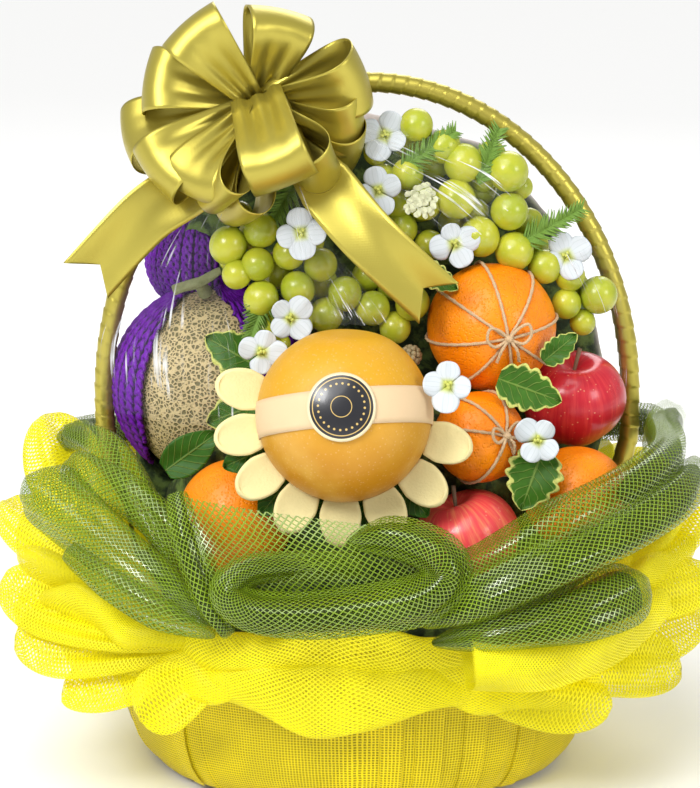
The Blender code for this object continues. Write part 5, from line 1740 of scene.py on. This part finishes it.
def ribbon_tail(name, route, width, curl):
    """A tail of ribbon with a V cut into its end."""
    frames = route_frames([(spot, 1) for spot in smooth_line(route, TAIL_STEPS + 1)])

    def place(u, v):
        side = 2 * u - 1
        point, _, along, _, _ = frames[round(v * TAIL_STEPS)]
        across = along.cross(Vector((0, -1, 0))).normalized()
        half = width / 2 * (0.40 + 0.60 * min(1.0, 3.0 * v))
        notch = TAIL_NOTCH * (1 - abs(side)) * max(0.0, (v - 0.7) / 0.3)
        wave = curl * math.sin(math.pi * 1.6 * v) * side + 0.0012 * math.cos(math.pi * side)
        return point + across * half * side - along * notch + Vector((0, -0.0016 + wave, 0))

    return shaped_grid(name, 12, TAIL_STEPS, place, (width, TAIL_LENGTH))


def ribbon_tie(spot, along):
    """A turn of ribbon round the handle, at a spot and square to the way along it."""
    behind = Vector((0, 1, 0))
    side = along.cross(behind).normalized()

    def place(u, v):
        angle = math.tau * v
        around = side * math.cos(angle) + behind * math.sin(angle)
        return spot + around * (HOOP_TUBE + 0.0016) + along * (u - 0.5) * TIE_SIZE[0]

    return shaped_grid("tie", 6, 32, place, TIE_SIZE)


def ribbon_neck(start, end):
    """The gathered ribbon that carries the bow from the handle."""
    def place(u, v):
        angle = math.tau * u
        around = Vector((math.cos(angle), 0, math.sin(angle)))
        return start.lerp(end, v) + around * (0.0045 + 0.0025 * v)

    return shaped_grid("neck", 24, 10, place, NECK_SIZE)


def make_bow(width, tail_width):
    pieces = [ribbon_loop(f"loop_{number}", loop, width, number == LOOP_OVER_KNOT)
              for number, loop in enumerate(BOW_LOOPS, 1)]
    pieces.append(ribbon_tail("left_tail", TAIL_LEFT, tail_width, 0.004))
    pieces.append(ribbon_tail("right_tail", TAIL_RIGHT, tail_width, -0.003))
    route = [spot for spot, _ in hoop_route(200)]
    knot = mm(BOW_CENTRE)
    nearest = min(range(1, len(route) - 1), key=lambda index: (route[index] - knot).length)
    spot = route[nearest]
    pieces.append(ribbon_tie(spot, (route[nearest + 1] - route[nearest - 1]).normalized()))
    pieces.append(ribbon_neck(spot + Vector((0, -0.0072, 0)), knot + Vector((0, 0.004, 0))))
    bow = join_pieces(pieces, "satin_bow")
    apply_modifier(bow, "SOLIDIFY", thickness=RIBBON_THICKNESS, offset=0.0)
    finish_piece(bow, FINISHES["satin"], "satin_ribbon", "bow")


# ---------------------------------------------------------------- film
# stretches of film: left edge and right edge from the gather down, in millimetres
FILM_STRETCHES = (
    (((-70, -58, 378), (-112, -46, 330), (-148, -34, 270), (-150, -28, 220)),
     ((-62, -62, 372), (-80, -62, 322), (-70, -74, 270), (-66, -74, 220))),
    (((-40, -66, 362), (-38, -72, 330), (-34, -80, 300), (-32, -92, 288)),
     ((-32, -68, 362), (-16, -76, 330), (8, -82, 300), (20, -92, 287))),
    (((6, -44, 392), (22, -50, 390), (70, -50, 372), (96, -50, 352)),
     ((6, -42, 380), (14, -50, 362), (40, -54, 340), (60, -56, 322))),
    (((140, -24, 318), (154, -20, 290), (160, -16, 250), (160, -14, 215)),
     ((118, -44, 318), (134, -48, 286), (146, -52, 250), (148, -50, 215))),
)
FILM_STEPS = 48
FILM_SIZE = (0.08, 0.16)


def make_film():
    """Clear film gathered under the bow and drawn over the fruit."""
    pieces = []
    for number, (left, right) in enumerate(FILM_STRETCHES):
        left_edge = smooth_line(left, FILM_STEPS + 1)
        right_edge = smooth_line(right, FILM_STEPS + 1)

        def place(u, v):
            step = round(v * FILM_STEPS)
            spot = left_edge[step].lerp(right_edge[step], u)
            crease = 0.0016 * math.sin(31 * u + 3 * number) + 0.0010 * math.sin(67 * u + 9 * v)
            return spot + Vector((0, crease - 0.006 * math.sin(math.pi * u), 0))

        pieces.append(shaped_grid(f"film_{number}", 60, FILM_STEPS, place, FILM_SIZE))
    film = join_pieces(pieces, "clear_film")
    finish_piece(film, FINISHES["film"], "tissue")


# ---------------------------------------------------------------- stage
CAMERA_PLACE = (0.0, -1.6904, 0.6679)
CAMERA_TARGET = (0.0, 0.0, 0.215)
CAMERA_SHIFT = (-0.00888, 0.01338)
SUN_PLACE = (-0.8, -1.1, 2.2)
# lamps for the highlights: place, size and share of the key light's power
LAMPS = (
    ("key", (-0.8, -1.2, 1.2), 0.45, 1.0), ("fill", (1.2, -1.0, 0.9), 0.5, 0.6),
    ("back", (0.3, 1.4, 1.3), 0.9, 0.8),
)


def make_stage(stage):
    deselect_all()
    bpy.ops.mesh.primitive_plane_add(size=12.0)
    floor = name_piece("floor")
    bpy.ops.object.mode_set(mode="EDIT")
    bpy.ops.mesh.subdivide(number_cuts=stage.floor_segments)
    bpy.ops.object.mode_set(mode="OBJECT")
    white, _, _ = new_material("floor_white", (0.93, 0.93, 0.92), 0.85)
    floor.data.materials.append(white)

    world = bpy.data.worlds.new("even_light")
    world.use_nodes = True
    world.node_tree.nodes["Background"].inputs["Color"].default_value = (1.0, 1.0, 1.0, 1.0)
    world.node_tree.nodes["Background"].inputs["Strength"].default_value = stage.sky
    bpy.context.scene.world = world

    target = Vector(CAMERA_TARGET)
    for name, place, size, share in LAMPS:
        turn = (target - Vector(place)).to_track_quat("-Z", "Y").to_euler()
        bpy.ops.object.light_add(type="AREA", location=place, rotation=turn)
        lamp = bpy.context.object
        lamp.name = f"lamp_{name}"
        lamp.data.size = size
        lamp.data.energy = stage.key_light * share

    turn = (target - Vector(SUN_PLACE)).to_track_quat("-Z", "Y").to_euler()
    bpy.ops.object.light_add(type="SUN", location=SUN_PLACE, rotation=turn)
    bpy.context.object.name = "soft_sun"
    bpy.context.object.data.energy = stage.sun
    bpy.context.object.data.angle = math.radians(50)

    turn = (target - Vector(CAMERA_PLACE)).to_track_quat("-Z", "Y").to_euler()
    bpy.ops.object.camera_add(location=CAMERA_PLACE, rotation=turn)
    camera = bpy.context.object
    camera.name = "camera"
    camera.data.lens = stage.lens
    camera.data.shift_x, camera.data.shift_y = CAMERA_SHIFT
    bpy.context.scene.camera = camera
    bpy.context.scene.view_settings.view_transform = "Standard"


# ---------------------------------------------------------------- operators
class GIFT_OT_finishes(bpy.types.Operator):
    """Make the materials that the pieces share"""

    bl_idname = "gift.finishes"
    bl_label = "Finishes"

    def execute(self, context):
        make_finishes(context)
        return {"FINISHED"}


class GIFT_OT_bowl(bpy.types.Operator):
    """Dress the bowl in its pleated net skirt"""

    bl_idname = "gift.bowl"
    bl_label = "Bowl"

    def execute(self, context):
        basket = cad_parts["basket"]
        for slot in basket.material_slots:
            slot.material = FINISHES["wicker"]
        make_skirt()
        return {"FINISHED"}


class GIFT_OT_handle(bpy.types.Operator):
    """Wind the hoop handle with satin ribbon"""

    bl_idname = "gift.handle"
    bl_label = "Handle"

    def execute(self, context):
        make_wound_handle(context.scene.gift_ribbon.winding)
        return {"FINISHED"}


class GIFT_OT_padding(bpy.types.Operator):
    """Make the padding that holds the fruit up"""

    bl_idname = "gift.padding"
    bl_label = "Padding"

    def execute(self, context):
        make_backing()
        return {"FINISHED"}


class GIFT_OT_melon(bpy.types.Operator):
    """Make the netted melon, its knitted sleeve and the second wrapped fruit"""

    bl_idname = "gift.melon"
    bl_label = "Melon"

    def execute(self, context):
        make_melon()
        make_sleeves()
        make_melon_stalk()
        return {"FINISHED"}


class GIFT_OT_pear(bpy.types.Operator):
    """Make the pear with its paper band, sticker and foam petals"""

    bl_idname = "gift.pear"
    bl_label = "Pear"

    def execute(self, context):
        make_pear()
        make_band()
        make_sticker()
        make_foam_petals()
        return {"FINISHED"}


class GIFT_OT_oranges(bpy.types.Operator):
    """Make the oranges and the twine round two of them"""

    bl_idname = "gift.oranges"
    bl_label = "Oranges"

    def execute(self, context):
        make_oranges()
        make_twines()
        return {"FINISHED"}


class GIFT_OT_apples(bpy.types.Operator):
    """Make the two red apples"""

    bl_idname = "gift.apples"
    bl_label = "Apples"

    def execute(self, context):
        make_apples()
        return {"FINISHED"}


class GIFT_OT_grapes(bpy.types.Operator):
    """Make both bunches of grapes on their stems"""

    bl_idname = "gift.grapes"
    bl_label = "Grapes"

    def execute(self, context):
        make_bunch("left_bunch", GRAPES_LEFT, "grapes_left", "left_twigs")
        make_bunch("right_bunch", GRAPES_RIGHT, "grapes_right", "right_twigs")
        return {"FINISHED"}


class GIFT_OT_flowers(bpy.types.Operator):
    """Make the white flowers and the small blossom"""

    bl_idname = "gift.flowers"
    bl_label = "Flowers"

    def execute(self, context):
        make_flowers()
        make_blossom()
        return {"FINISHED"}


class GIFT_OT_greenery(bpy.types.Operator):
    """Make the leaves, the pine sprigs and the small cone"""

    bl_idname = "gift.greenery"
    bl_label = "Greenery"

    def execute(self, context):
        make_leaves()
        make_sprigs()
        make_pinecone()
        return {"FINISHED"}


class GIFT_OT_green_net(bpy.types.Operator):
    """Make the rolls of glossy green net round the rim"""

    bl_idname = "gift.green_net"
    bl_label = "Green Net"

    def execute(self, context):
        make_green_net()
        return {"FINISHED"}


class GIFT_OT_yellow_net(bpy.types.Operator):
    """Make the two layers of yellow net puffs"""

    bl_idname = "gift.yellow_net"
    bl_label = "Yellow Net"

    def execute(self, context):
        make_yellow_net()
        return {"FINISHED"}


class GIFT_OT_bow(bpy.types.Operator):
    """Tie the satin bow to the handle"""

    bl_idname = "gift.bow"
    bl_label = "Bow"

    def execute(self, context):
        ribbon = context.scene.gift_ribbon
        make_bow(ribbon.width, ribbon.tail_width)
        return {"FINISHED"}


class GIFT_OT_film(bpy.types.Operator):
    """Draw the clear film over the fruit"""

    bl_idname = "gift.film"
    bl_label = "Film"

    def execute(self, context):
        make_film()
        return {"FINISHED"}


class GIFT_OT_stage(bpy.types.Operator):
    """Set out the floor, the lamps and the camera"""

    bl_idname = "gift.stage"
    bl_label = "Stage"

    def execute(self, context):
        make_stage(context.scene.gift_stage)
        return {"FINISHED"}


OPERATORS = (
    GIFT_OT_finishes, GIFT_OT_bowl, GIFT_OT_handle, GIFT_OT_padding, GIFT_OT_melon,
    GIFT_OT_pear, GIFT_OT_oranges, GIFT_OT_apples, GIFT_OT_grapes, GIFT_OT_flowers,
    GIFT_OT_greenery, GIFT_OT_green_net, GIFT_OT_yellow_net, GIFT_OT_bow, GIFT_OT_film,
    GIFT_OT_stage,
)


class GIFT_PT_panel(bpy.types.Panel):
    """Buttons that build each group of pieces"""

    bl_idname = "GIFT_PT_panel"
    bl_label = "Gift Basket"
    bl_space_type = "VIEW_3D"
    bl_region_type = "UI"
    bl_category = "Gift Basket"

    def draw(self, context):
        for operator in OPERATORS:
            self.layout.operator(operator.bl_idname)
        for group in (context.scene.gift_nets, context.scene.gift_ribbon,
                      context.scene.gift_fruit, context.scene.gift_stage):
            box = self.layout.box()
            for key in group.__annotations__:
                box.prop(group, key)


SETTINGS = (("gift_nets", GiftNets), ("gift_ribbon", GiftRibbon), ("gift_fruit", GiftFruit),
            ("gift_stage", GiftStage))


def register():
    for name, settings in SETTINGS:
        bpy.utils.register_class(settings)
        setattr(bpy.types.Scene, name, PointerProperty(type=settings))
    for operator in OPERATORS:
        bpy.utils.register_class(operator)
    bpy.utils.register_class(GIFT_PT_panel)


def unregister():
    bpy.utils.unregister_class(GIFT_PT_panel)
    for operator in reversed(OPERATORS):
        bpy.utils.unregister_class(operator)
    for name, settings in reversed(SETTINGS):
        delattr(bpy.types.Scene, name)
        bpy.utils.unregister_class(settings)


def main():
    register()
    for operator in OPERATORS:
        group, action = operator.bl_idname.split(".")
        getattr(getattr(bpy.ops, group), action)()
    deselect_all()


if __name__ == "__main__":
    main()
